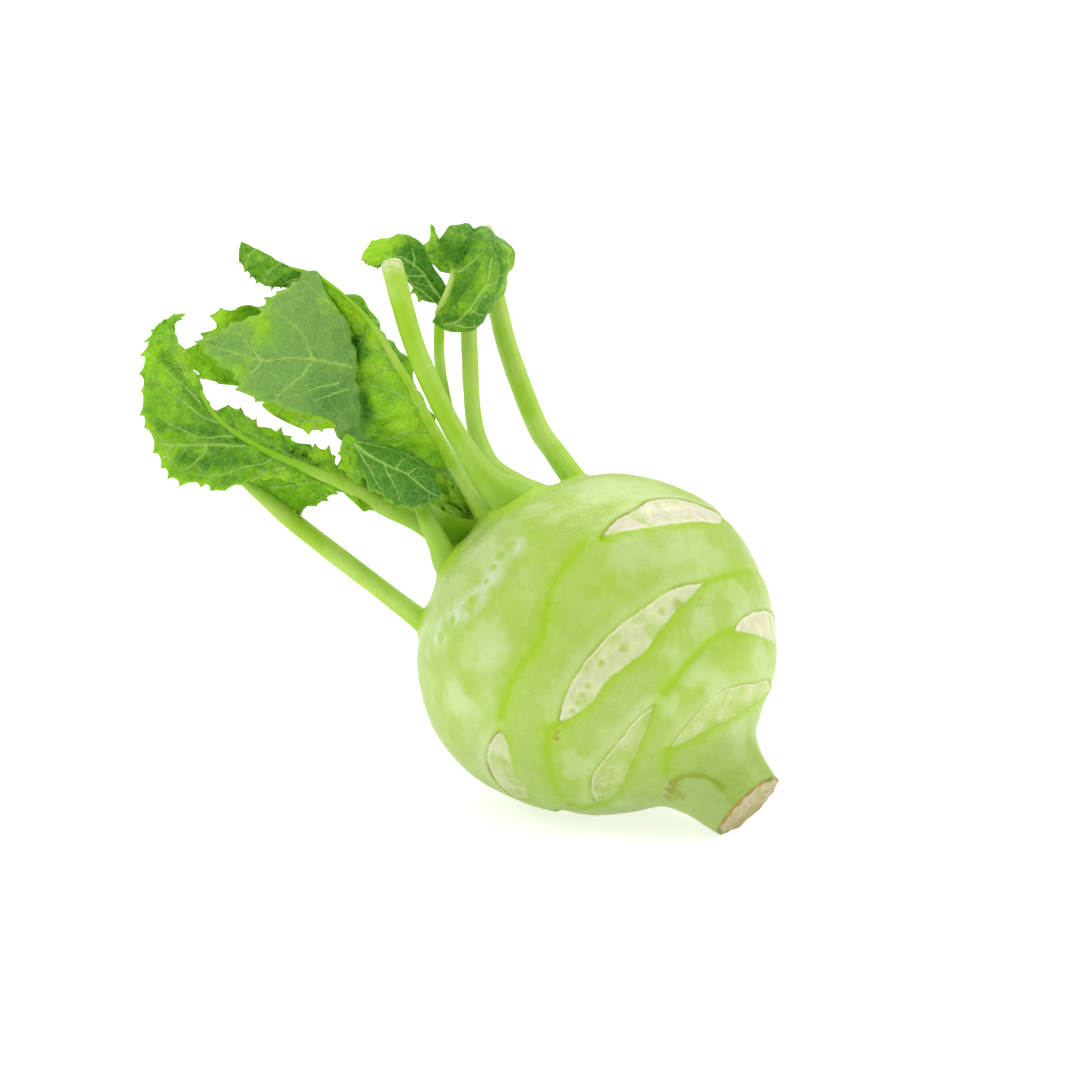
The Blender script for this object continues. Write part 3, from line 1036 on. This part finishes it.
def drawn_on(points, path):
    """A path given in x and z, laid on the nearest points of a blade, or its front where it folds.
    It ends where the blade does."""
    found = []
    for x, z in path:
        gap = (points[:, 0] - x) ** 2 + (points[:, 2] - z) ** 2
        nearest = np.argmin(gap + FRONT_FIRST * points[:, 1])
        if gap[nearest] > OFF_BLADE:
            break
        found.append(points[nearest])
    found = np.array(found).reshape(-1, 3)
    smoothed = found.copy()
    smoothed[1:-1] = (found[:-2] + 2 * found[1:-1] + found[2:]) / 4
    return smoothed


def with_branches(path, others, seed):
    """A vein in x and z and the finer ones that leave it by turns on either side and stop short of
    the other veins, each with the share of the main vein's width that it has."""
    draw = np.random.default_rng(seed)
    found = [(path, 1.0)]
    places = along_path(path)
    tangent = np.gradient(path, axis=0)
    side = 1
    start = BRANCH_SPACING * draw.uniform(0.4, 0.9)
    while start < places[-1] - 1:
        k = int(np.searchsorted(places, start))
        heading = math.atan2(tangent[k, 1], tangent[k, 0]) + side * draw.uniform(*BRANCH_TURNS)
        reach = BRANCH_LENGTH * draw.uniform(0.6, 1.25)
        bend = heading - side * BRANCH_BEND * np.linspace(0, 1, 12)
        moves = np.stack([np.cos(bend), np.sin(bend)], axis=1) * reach / len(bend)
        branch = path[k] + np.cumsum(moves, axis=0)
        for other in others:
            gap = np.min(np.linalg.norm(branch[:, None] - other[None], axis=2), axis=1)
            branch = branch[: int(np.argmax(np.append(gap < VEIN_CLEARANCE, True)))]
        found.append((branch, BRANCH_VEIN))
        side = -side
        start += BRANCH_SPACING * draw.uniform(0.7, 1.3)
    return found


def side_vein_paths(points, count):
    """Veins that leave a blade's first column at even places and lean towards its tip, each with a
    fork."""
    rows, columns = points.shape[:2]
    paths = []
    for start in (np.arange(count) + 0.35) / count:
        for begin, end, lean, shift in ((0.02, 0.94, 0.22, 0), (0.4, 0.85, 0.05, 0.045)):
            across = np.linspace(begin, end, 24)
            row = np.clip(start + lean * across**1.3 + shift, 0, 1) * (rows - 1)
            column = across * (columns - 1)
            paths.append(points[row.astype(int), column.astype(int)])
    return paths


def toothed(plan, u, v, row_length, seed):
    """Where across the net each point of a blade lies once its teeth are cut, how far it is from
    the edge in mm, and how near to the tip of a tooth."""
    places = np.broadcast_to(v, (len(u), len(v))).copy()
    tips = np.zeros_like(places)
    edge = np.full_like(places, FAR)
    for first, count in zip((True, False), plan["teeth"]):
        if not count:
            continue
        depth = TOOTH * tooth_depths(u, count, seed + first)
        depth = np.minimum(depth, DEEPEST_TOOTH * row_length)
        from_edge = v if first else 1 - v
        inwards = (depth / row_length)[:, None] * (1 - smoothstep(from_edge, 0, 0.2))
        places += inwards if first else -inwards
        gap = from_edge * row_length[:, None]
        edge = np.minimum(edge, gap)
        tip = tooth_tips(u, count, seed + first)[:, None]
        tips = np.maximum(tips, tip * np.clip(1 - gap / TIP_LENGTH, 0, 1))
    return places, edge, tips


def vein_marks(plan, points, seed):
    """For each point, the way to the nearest vein's middle in half widths of that vein, about how
    far it is in half widths, and how far in mm. The second keeps the first from passing for 0
    between veins."""
    flat = points.reshape(-1, 3)
    veins = []
    mains = [smooth_path(path, 8 * len(path)) for path in plan["veins"]]
    for k, path in enumerate(mains):
        main = VEIN_HALF * (FIRST_VEIN if k == 0 else 1) * plan["vein_width"]
        for branch, share in with_branches(path, mains[:k] + mains[k + 1 :], seed + k):
            veins.append((drawn_on(flat, branch), main * share))
    side_veins = side_vein_paths(points, plan["side_veins"])
    veins += [(path, VEIN_HALF * SIDE_VEIN) for path in side_veins]
    nearest = np.full(len(flat), FAR)
    way = np.zeros((len(flat), 3))
    half_width = np.full(len(flat), VEIN_HALF)
    for path, half in veins:
        if len(path) < 3:
            continue
        gap, place = distance_to_path(flat, path)
        spot = np.stack([at_share(place, path[:, k]) for k in range(3)], axis=1)
        half = half * (1 - VEIN_TAPER * place)
        closer = gap / half < nearest / half_width
        nearest[closer] = gap[closer]
        half_width[closer] = half[closer]
        way[closer] = (spot - flat)[closer]
    far = np.maximum(nearest - BLADE_CELL, 0) / half_width
    return way / half_width[:, None], far, nearest.reshape(points.shape[:2])


def blade_relief(plan, points, gap, edge, seed):
    """How far each point of a blade stands out to the front, and how deep its green is in the
    creases. gap is how far it is from a vein, and edge from the rim."""
    pucker = PUCKER * smoothstep(gap, 0, 2.5) * (1 + unevenness(points, 4, seed))
    fine = FINE_PUCKER * unevenness(points, 1.8, seed + 3)
    near_rim = 1 - smoothstep(edge, 0, 7)
    wave = near_rim * unevenness(points, 8, seed + 1) + 0.4 * unevenness(points, 7, seed + 2)
    relief = plan["crinkle"] * (pucker + fine + RIM_WAVE * wave)
    shade = np.zeros(points.shape[:2])
    flat = points.reshape(-1, 3)
    for crease, depth, half in plan["creases"]:
        path = drawn_on(flat, smooth_path(crease, 30))
        away = distance_to_path(flat, path)[0].reshape(shade.shape)
        relief = relief - depth * bell(away, half)
        shade = np.maximum(shade, CREASE_SHADE * bell(1.3 * away, half))
    return relief, shade


def patches_of_green(plan, points, u, v, creases):
    """How deep, grey and blue the green of each point is."""
    shape = points.shape[:2]
    deep = spread(plan["deep"], u)[:, None] + creases
    grey = np.broadcast_to(spread(plan["grey"], v), shape).copy()
    blue = np.zeros(shape)
    for spots, green in (("shades", deep), ("blues", blue), ("greys", grey)):
        for x, z, reach, strength in plan[spots]:
            green += strength * bell(np.hypot(points[..., 0] - x, points[..., 2] - z), reach)
    return {"deep": deep, "grey": grey, "blue": blue}


def blade_patch(plan, seed):
    """A blade over its net: toothed, puckered between its veins, and a little wavy."""
    plan = PLAIN_BLADE | plan
    along, across = plan["size"]
    net = np.array(plan["net"], float)
    u = np.linspace(0, 1, along)
    v = np.linspace(0, 1, across)
    columns = np.einsum("ur,rcx->ucx", spline_weights(u, len(net)), net)
    row_length = np.linalg.norm(np.diff(columns, axis=1), axis=2).sum(1)
    places, edge, tips = toothed(plan, u, v, row_length, seed)
    points = np.einsum("uvc,ucx->uvx", spline_weights(places, net.shape[1]), columns)

    facing = np.cross(np.gradient(points, axis=0), np.gradient(points, axis=1))
    facing /= np.maximum(np.linalg.norm(facing, axis=2), 1e-9)[..., None]
    if facing[..., 1].mean() > 0:
        facing = -facing
    to_vein, vein_far, gap = vein_marks(plan, points, seed)
    relief, creases = blade_relief(plan, points, gap, edge, seed)
    points = points + relief[..., None] * facing
    thickness = RIM_HALF + (BLADE_HALF - RIM_HALF) * smoothstep(edge, 0, 1.2)
    sides = [points + side * thickness[..., None] * facing for side in (1, -1)]
    every = np.concatenate(sides).reshape(-1, 3)

    faces = grid_faces(along, across, closed=False)
    count = along * across
    grid = np.arange(count).reshape(along, across)
    rim = np.concatenate([grid[:-1, 0], grid[-1, :-1], grid[:0:-1, -1], grid[0, :0:-1]])
    ahead = np.roll(rim, -1)
    round_rim = np.stack([rim, ahead, ahead + count, rim + count], axis=1)
    faces = np.concatenate([faces[:, ::-1], faces + count, round_rim]).tolist()

    if "shade" in plan:
        shade = np.tile(spread(plan["shade"], v), 2 * along)
        return patch(every, faces, {"shade": shade})
    marks = {"edge": edge, "tip": tips} | patches_of_green(plan, points, u, v, creases)
    marks = {mark: np.tile(values.ravel(), 2) for mark, values in marks.items()}
    marks.update({"to_vein": np.tile(to_vein, (2, 1)), "vein_far": np.tile(vein_far, 2)})
    return patch(every, faces, marks, material=1)


def young_blade_plan(tip, half):
    foot, tip = np.array(YOUNG_FOOT, float), np.array(tip, float)
    net = []
    for t in (0, 0.35, 0.7, 1):
        width = half * (0.3 if t == 1 else 1)
        bend = YOUNG_BEND * math.sin(math.pi * t)
        middle = foot + (tip - foot) * t
        net.append([
            middle + [s * width * 0.9, -bend * (1 - s * s), s * width * 0.4] for s in (-1, 0, 1)
        ])
    return {
        "size": (48, 26), "teeth": (4, 4), "grey": [0.1, 0.1], "net": net,
        "deep": [0.7, -0.1, -0.3], "veins": [[foot[[0, 2]], tip[[0, 2]]]],
    }


# ---- materials ----------------------------------------------------------------------------------


def tone(red, green, blue):
    """A colour given as 0 to 255, as the linear colour that nodes take."""
    shares = [c / 255 for c in (red, green, blue)]
    return tuple(c / 12.92 if c < 0.04045 else ((c + 0.055) / 1.055) ** 2.4 for c in shares) + (1,)


LIME = tone(169, 195, 92)
WARM_LIME = tone(168, 199, 74)
PALE_LIME = tone(186, 212, 122)
LINE_LIME = tone(160, 198, 18)
BLOOM = tone(214, 230, 180)
LILAC = tone(216, 224, 200)
UNDERSIDE = tone(228, 229, 219)
SCAR_CREAM = tone(230, 230, 196)
SCAR_PINK = tone(230, 219, 212)
SCAR_GREEN = tone(194, 208, 122)
OLIVE = tone(132, 132, 52)
SPOT_OLIVE = tone(166, 178, 34)
BROWN = tone(150, 122, 58)
ORANGE = tone(186, 140, 58)
CUT_BEIGE = tone(194, 183, 130)
FACET_GREEN = tone(178, 204, 126)
STALK_LIME = tone(160, 204, 36)
STALK_PALE = tone(184, 216, 100)
STALK_DEEP = tone(136, 184, 30)
LEAF_BRIGHT = tone(128, 188, 18)
LEAF_YELLOW = tone(160, 210, 20)
LEAF_DEEP = tone(66, 130, 4)
LEAF_GREY = tone(122, 168, 78)
LEAF_BLUE = tone(58, 122, 40)
VEIN_PALE = tone(170, 210, 100)
TIP_BROWN = tone(92, 92, 34)

STREAK_SCALE = (0.5, 1, 0.5)  # skin streaks run along the leaf bases, up and to the right


class Value:
    """What a node puts out, to reckon with as with a plain number."""

    def __init__(self, paint, socket):
        self.paint = paint
        self.socket = socket

    def math(self, operation, other=0.0):
        return self.paint.node("ShaderNodeMath", {0: self, 1: other}, 0, operation=operation)

    def __add__(self, other):
        return self.math("ADD", other)

    def __sub__(self, other):
        return self.math("SUBTRACT", other)

    def __mul__(self, other):
        return self.math("MULTIPLY", other)

    __rmul__ = __mul__

    def __abs__(self):
        return self.math("ABSOLUTE")

    def most(self, other):
        return self.math("MAXIMUM", other)

    def step(self, low, high):
        """0 at low and beyond, 1 at high and beyond, and smooth between them."""
        inputs = {"Value": self, "From Min": low, "From Max": high}
        return self.paint.node("ShaderNodeMapRange", inputs, 0, interpolation_type="SMOOTHSTEP")


class Paint:
    """A node material, with a short call for each kind of node that it is made of."""

    def __init__(self, name):
        self.material = bpy.data.materials.new(name)
        self.material.use_nodes = True
        self.tree = self.material.node_tree
        metres = self.node("ShaderNodeTexCoord", {}, "Object")
        self.where = self.vector("SCALE", metres, {"Scale": 1000})

    def feed(self, node, inputs):
        for name, value in inputs.items():
            if isinstance(value, Value):
                self.tree.links.new(value.socket, node.inputs[name])
            else:
                node.inputs[name].default_value = value

    def node(self, kind, inputs, output, **settings):
        made = self.tree.nodes.new(kind)
        for key, value in settings.items():
            setattr(made, key, value)
        self.feed(made, inputs)
        return Value(self, made.outputs[output])

    def vector(self, operation, first, inputs, output=0):
        inputs = {0: first} | inputs
        return self.node("ShaderNodeVectorMath", inputs, output, operation=operation)

    def mark(self, name, output="Fac"):
        return self.node("ShaderNodeAttribute", {}, output, attribute_name=name)

    def noise(self, size, detail=2.0, roughness=0.5, stretch=None, output="Fac"):
        """Noise from 0 to 1 whose lumps are about size mm across, or longer where stretch is
        below 1."""
        where = self.vector("MULTIPLY", self.where, {1: stretch}) if stretch else self.where
        inputs = {"Vector": where, "Scale": 1 / size, "Detail": detail, "Roughness": roughness}
        return self.node("ShaderNodeTexNoise", inputs, output)

    def cells(self, size, feature, where=None):
        """Distance inside cells about size mm across, to their middle (F1) or their walls."""
        inputs = {"Vector": where or self.where, "Scale": 1 / size}
        return self.node("ShaderNodeTexVoronoi", inputs, "Distance", feature=feature)

    def spots(self, spots, ragged):
        """1 at the middle of each spot [height, degrees, radius] of the skin, falling to 0."""
        total = 0.0
        for height, degrees, radius in spots:
            middle = to_world(skin_points(height, degrees)) * 1000
            gap = self.vector("DISTANCE", self.where, {1: tuple(middle)}, "Value")
            total = (gap + ragged).step(radius * 1.15, radius * 0.3).most(total)
        return total

    def mix(self, first, second, share, blend="MIX"):
        inputs = {0: share, 6: first, 7: second}
        return self.node("ShaderNodeMix", inputs, 2, data_type="RGBA", blend_type=blend)

    def layered(self, colour, layers):
        """The colour with others laid over it in turn, each by its share."""
        for over, share in layers:
            colour = self.mix(colour, over, share)
        return colour

    def bump(self, *layers):
        """Bumps laid over one another, each a height and how many mm a height of 1 is."""
        inputs = {}
        for height, distance in layers:
            inputs.update({"Height": height, "Distance": distance / 1000})
            inputs["Normal"] = self.node("ShaderNodeBump", inputs, "Normal")
        return inputs["Normal"]

    def finished(self, inputs):
        self.feed(self.tree.nodes["Principled BSDF"], inputs)
        return self.material


def soft(weight, radius, scale):
    """A dulled shine, and light that passes a little way under the surface."""
    return {
        "Specular IOR Level": 0.26,
        "Subsurface Weight": weight,
        "Subsurface Radius": radius,
        "Subsurface Scale": scale,
    }


def skin_colour(paint, cloud, mottle, wobble, pores):
    """The healthy skin: lime, clouded, finely dotted, with a pale bloom in places."""
    streaks = paint.noise(2.6, detail=3, stretch=STREAK_SCALE)
    drift = 22 * (paint.noise(8, detail=3) - 0.5)
    line = paint.mark("line") + wobble
    band = paint.mark("band") + 3 * wobble
    patchy = paint.noise(5).step(0.4, 0.62) + 0.35
    return paint.layered(WARM_LIME, [
        (LIME, cloud.step(0.36, 0.64)),
        (PALE_LIME, 0.4 * mottle.step(0.4, 0.7)),
        (WARM_LIME, 0.3 * streaks.step(0.52, 0.7)),
        (PALE_LIME, 0.45 * pores.step(0.36, 0.12) * cloud.step(0.4, 0.6)),
        (BLOOM, 0.35 * paint.noise(19).step(0.54, 0.74)),
        (BLOOM, 0.3 * paint.spots(BLOOM_PATCHES, drift)),
        (STALK_LIME, 0.8 * paint.mark("stalk_near").step(0.2, 1)),
        (LINE_LIME, 0.45 * line.step(5, 0.4)),
        (LINE_LIME, 0.85 * line.step(1.5, 0.4)),
        (LINE_LIME, 0.3 * band.step(8, 3)),
        (LILAC, 0.55 * band.step(6, 0) * patchy),
        (LINE_LIME, 0.75 * paint.spots(PALE_BAND_MARKS, 2 * wobble)),
    ])


def scar_colour(paint, skin, scar, mottle, wobble):
    """Leaf scars: cream flesh with olive spots, a fine dark edge above and a green one below."""
    upper = paint.mark("upper")
    healed = paint.noise(3.4, stretch=STREAK_SCALE)
    flesh = paint.layered(SCAR_GREEN, [
        (SCAR_PINK, paint.mark("pink")),
        (SCAR_CREAM, paint.noise(5, detail=3).step(0.4, 0.65)),
        (SCAR_GREEN, 0.6 * mottle.step(0.5, 0.7)),
        (WARM_LIME, 0.55 * healed.step(0.5, 0.66)),
        (SPOT_OLIVE, 0.85 * paint.spots(SCAR_SPOTS, 1.6 * wobble)),
    ])
    ledge = scar.step(-4.5, -1.6) * scar.step(-0.2, -1.2) * upper.step(0.1, 0.8)
    white = scar.step(0.1, 0.35) * scar.step(1, 0.5) * upper.step(-0.2, 0.6)
    dark = abs(scar).step(0.5, 0.05) * upper.step(-1.6, 0.6) * paint.noise(6).step(0.3, 0.65)
    return paint.layered(skin, [
        (BLOOM, 0.2 * ledge),
        (LINE_LIME, 0.7 * scar.step(-3.2, -0.2) * upper.step(0.3, -0.5)),
        (flesh, scar.step(0, 0.6) * paint.mark("bare")),
        (SCAR_CREAM, 0.55 * white),
        (OLIVE, 0.6 * dark),
    ])


def stub_colour(paint, skin, past, mottle, wobble):
    """The root stub: a flat paler side, and the cut face with its rough brown lip."""
    crease = paint.mark("crease") + wobble
    torn = 5 * (paint.noise(1.3, detail=3) - 0.5)
    bits = paint.mix(SPOT_OLIVE, BROWN, mottle.step(0.4, 0.6))
    cut = paint.layered(CUT_BEIGE, [
        (SCAR_PINK, 0.5 * paint.noise(2.6, detail=3).step(0.4, 0.6)),
        (SCAR_GREEN, 0.35 * abs(past - 3.2).step(1, 0.2)),
        (ORANGE, 0.15 * paint.noise(1, detail=3).step(0.5, 0.7)),
    ])
    lip = paint.mix(OLIVE, ORANGE, paint.noise(7).step(0.45, 0.6))
    return paint.layered(skin, [
        (FACET_GREEN, 0.65 * paint.mark("facet").step(0, 0.8)),
        (LINE_LIME, 0.6 * crease.step(2, 0.3)),
        (OLIVE, 0.4 * crease.step(1.1, 0.2)),
        (bits, 0.7 * paint.spots(BROWN_BITS, torn)),
        (cut, past.step(0, 0.5)),
        (lip, 0.85 * abs(past - 0.2).step(1.2, 0.3)),
    ])


def skin_material():
    paint = Paint("kohlrabi_skin")
    mottle = paint.noise(4.5, detail=4, roughness=0.6)
    wobble = 1.1 * (mottle - 0.5)
    pores = paint.cells(1.1, "F1")
    scar = paint.mark("scar") + 1.1 * wobble
    past = paint.mark("past_lip") + 0.9 * wobble
    skin = skin_colour(paint, paint.noise(26, detail=3), mottle, wobble, pores)
    skin = scar_colour(paint, skin, scar, mottle, wobble)
    skin = stub_colour(paint, skin, past, mottle, wobble)
    above_ground = paint.node("ShaderNodeSeparateXYZ", {0: paint.where}, "Z")
    matte = scar.step(0, 0.5).most(past.step(0, 0.5))
    return paint.finished({
        "Base Color": paint.mix(skin, UNDERSIDE, above_ground.step(38, 2), blend="MULTIPLY"),
        "Roughness": 0.16 * mottle + 0.32 + 0.22 * matte,
        "Normal": paint.bump((paint.noise(0.9), 0.1), (pores, 0.07), (mottle, 0.4)),
        "Coat Weight": 0.06,
        "Coat Roughness": 0.3,
    } | soft(0.12, (1, 1, 0.3), 0.002))


def stalk_material():
    paint = Paint("kohlrabi_stalk")
    fibre = paint.noise(0.8, stretch=(1, 1, 0.14))
    tint = paint.mark("tint")
    specks = paint.cells(3.3, "F1").step(0.16, 0.08)
    cut = paint.mix(SCAR_CREAM, SCAR_GREEN, paint.noise(0.8).step(0.4, 0.6))
    skin = paint.layered(STALK_LIME, [
        (STALK_PALE, paint.noise(11).step(0.35, 0.65)),
        (STALK_DEEP, 0.22 * fibre.step(0.45, 0.75)),
        (STALK_PALE, 0.8 * tint),
        (STALK_DEEP, -0.8 * tint),
        (STALK_PALE, 0.35 * paint.mark("flank")),
        (PALE_LIME, 0.15 * paint.mark("near_foot")),
        (LEAF_BRIGHT, 0.85 * paint.mark("near_leaf")),
        (LEAF_DEEP, 0.75 * paint.mark("shade")),
        (LEAF_DEEP, specks * paint.mark("specks")),
        (cut, 0.8 * paint.mark("pith")),
    ])
    return paint.finished({
        "Base Color": skin,
        "Roughness": 0.15 * fibre + 0.32,
        "Normal": paint.bump((fibre, 0.12)),
    } | soft(0.2, (0.8, 1, 0.3), 0.0015))


def leaf_material():
    paint = Paint("kohlrabi_leaf")
    blotch = paint.noise(2.4, detail=4, roughness=0.65)
    uneven = 1.5 * (blotch - 0.5)
    deep = paint.mark("deep") + uneven
    grey = paint.mark("grey") + uneven
    bent = paint.vector("ADD", paint.where, {1: paint.noise(2, output="Color")})
    net = paint.cells(2.4, "DISTANCE_TO_EDGE", where=bent)
    fine_net = paint.cells(0.9, "DISTANCE_TO_EDGE", where=bent)
    # 0 is the middle of a vein, and 1 its edge.
    across = paint.vector("LENGTH", paint.mark("to_vein", output="Vector"), {}, "Value")
    across = across.most(paint.mark("vein_far"))
    green = paint.layered(LEAF_BRIGHT, [
        (LEAF_YELLOW, paint.noise(9, detail=3).step(0.35, 0.65)),
        (LEAF_YELLOW, deep.step(0, -0.6)),
        (LEAF_DEEP, deep.step(0, 1.1)),
        (LEAF_GREY, grey.step(0.1, 0.9)),
        (LEAF_BLUE, 0.7 * paint.mark("blue")),
        (LEAF_YELLOW, 0.45 * paint.mark("edge").step(2.2, 0.1)),
        (VEIN_PALE, 0.16 * net.step(0.09, 0.015)),
        (VEIN_PALE, 0.08 * fine_net.step(0.12, 0.02)),
        (TIP_BROWN, 0.85 * paint.mark("tip").step(0.3, 0.9)),
        (VEIN_PALE, 0.3 * across.step(3.6, 0.8)),
        (VEIN_PALE, 0.8 * across.step(1.3, 0.6)),
    ])
    bumps = paint.bump(
        (fine_net.step(0, 0.25), 0.06), (net.step(0, 0.3), 0.2), (blotch, 0.7),
        (across.step(2.5, 0), 0.22),
    )
    return paint.finished({
        "Base Color": green,
        "Roughness": 0.25 * blotch + 0.34,
        "Normal": bumps,
    } | soft(0.35, (0.6, 1, 0.2), 0.0012))


def floor_material():
    paint = Paint("pale_floor")
    colour = paint.mix(tone(204, 204, 204), tone(208, 208, 208), paint.noise(60))
    return paint.finished({
        "Base Color": colour,
        "Emission Color": colour,
        "Emission Strength": 1.05,
        "Roughness": 0.9,
    })


# ---- stage --------------------------------------------------------------------------------------

VIEW_DISTANCE = 1500.0
VIEW_MIDDLE = (-13.5, 25.75)  # x and z in the side plane that the camera looks straight at
VIEW_WIDTH = 270.0
SENSOR = 36.0
CLIP_END = 20.0  # metres, as are the floor and the lamps' places
FLOOR_HALF = 4.0
SKY_STRENGTH = 0.6
LAMP_SIZE = 0.8
LAMPS = [  # name, place and power
    ("key_left", (-1.0, -0.5, 1.2), 9),
    ("fill_right", (1.2, -0.1, 0.9), 7),
    ("rim_back", (0.2, 1.0, 1.2), 8),
]
LAMPS_LOOK_AT = (0, 0, 0.05)


def add_camera():
    camera = add_object("camera", bpy.data.cameras.new("camera"))
    camera.data.sensor_width = SENSOR
    camera.data.lens = SENSOR * VIEW_DISTANCE / VIEW_WIDTH
    camera.data.clip_end = CLIP_END
    x, z = VIEW_MIDDLE
    camera.location = Vector(to_world([x, -VIEW_DISTANCE, z]))
    camera.rotation_euler = (math.pi / 2 - LEAN, 0, 0)
    bpy.context.scene.camera = camera


def add_floor():
    mesh = bpy.data.meshes.new("floor")
    sides = [(-1, -1), (1, -1), (1, 1), (-1, 1)]
    mesh.from_pydata([(x * FLOOR_HALF, y * FLOOR_HALF, 0) for x, y in sides], [], [(0, 1, 2, 3)])
    mesh.materials.append(floor_material())
    floor = add_object("floor", mesh)


def add_light():
    world = bpy.data.worlds.new("studio")
    world.use_nodes = True
    world.node_tree.nodes["Background"].inputs["Color"].default_value = (1, 1, 1, 1)
    world.node_tree.nodes["Background"].inputs["Strength"].default_value = SKY_STRENGTH
    bpy.context.scene.world = world
    for name, place, power in LAMPS:
        lamp = add_object(name, bpy.data.lights.new(name, "AREA"))
        lamp.data.size = LAMP_SIZE
        lamp.data.energy = power
        lamp.location = place
        towards = Vector(LAMPS_LOOK_AT) - Vector(place)
        lamp.rotation_euler = towards.to_track_quat("-Z", "Y").to_euler()
    bpy.context.scene.view_settings.view_transform = "Standard"


# ---- the pieces ---------------------------------------------------------------------------------

LEAF_STALK_SEED = 10
BLADE_SEED = 20
YOUNG_SEED = 90


def add_bulb():
    piece("bulb_fine", "bulb", [bulb_patch()], [skin_material()])


def add_cut_stalks(materials):
    for seed, (node, (stations, tilt, tint)) in enumerate(CUT_STALKS.items()):
        made = stalk_patch(stations, seed, cut_tilt=tilt, tint=tint)
        piece(node + "_fine", node, [made], materials[:1])


def add_leaves(materials):
    for number, (node, plan) in enumerate(LEAVES.items()):
        looks = {key: plan[key] for key in ("leafy", "tint", "specks") if key in plan}
        patches = [stalk_patch(plan["stalk"], LEAF_STALK_SEED + number, **looks)]
        for k, blade in enumerate(plan["blades"]):
            patches.append(blade_patch(blade, BLADE_SEED + 10 * number + k))
        piece(node + "_fine", node, patches, materials)


def add_young_leaves(materials):
    patches = [
        blade_patch(young_blade_plan(tip, half), YOUNG_SEED + k)
        for k, (tip, half) in enumerate(YOUNG_LEAVES)
    ]
    piece("leaves_young_fine", "leaves_young", patches, materials)


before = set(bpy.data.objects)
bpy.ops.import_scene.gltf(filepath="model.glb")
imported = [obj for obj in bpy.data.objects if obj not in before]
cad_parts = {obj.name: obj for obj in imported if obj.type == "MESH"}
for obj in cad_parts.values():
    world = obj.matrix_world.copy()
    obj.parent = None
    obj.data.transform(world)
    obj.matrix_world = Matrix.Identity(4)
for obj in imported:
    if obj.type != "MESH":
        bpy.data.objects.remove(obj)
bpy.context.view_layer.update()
add_camera()
add_floor()
add_light()
plant_materials = [stalk_material(), leaf_material()]
add_bulb()
add_cut_stalks(plant_materials)
add_leaves(plant_materials)
add_young_leaves(plant_materials)
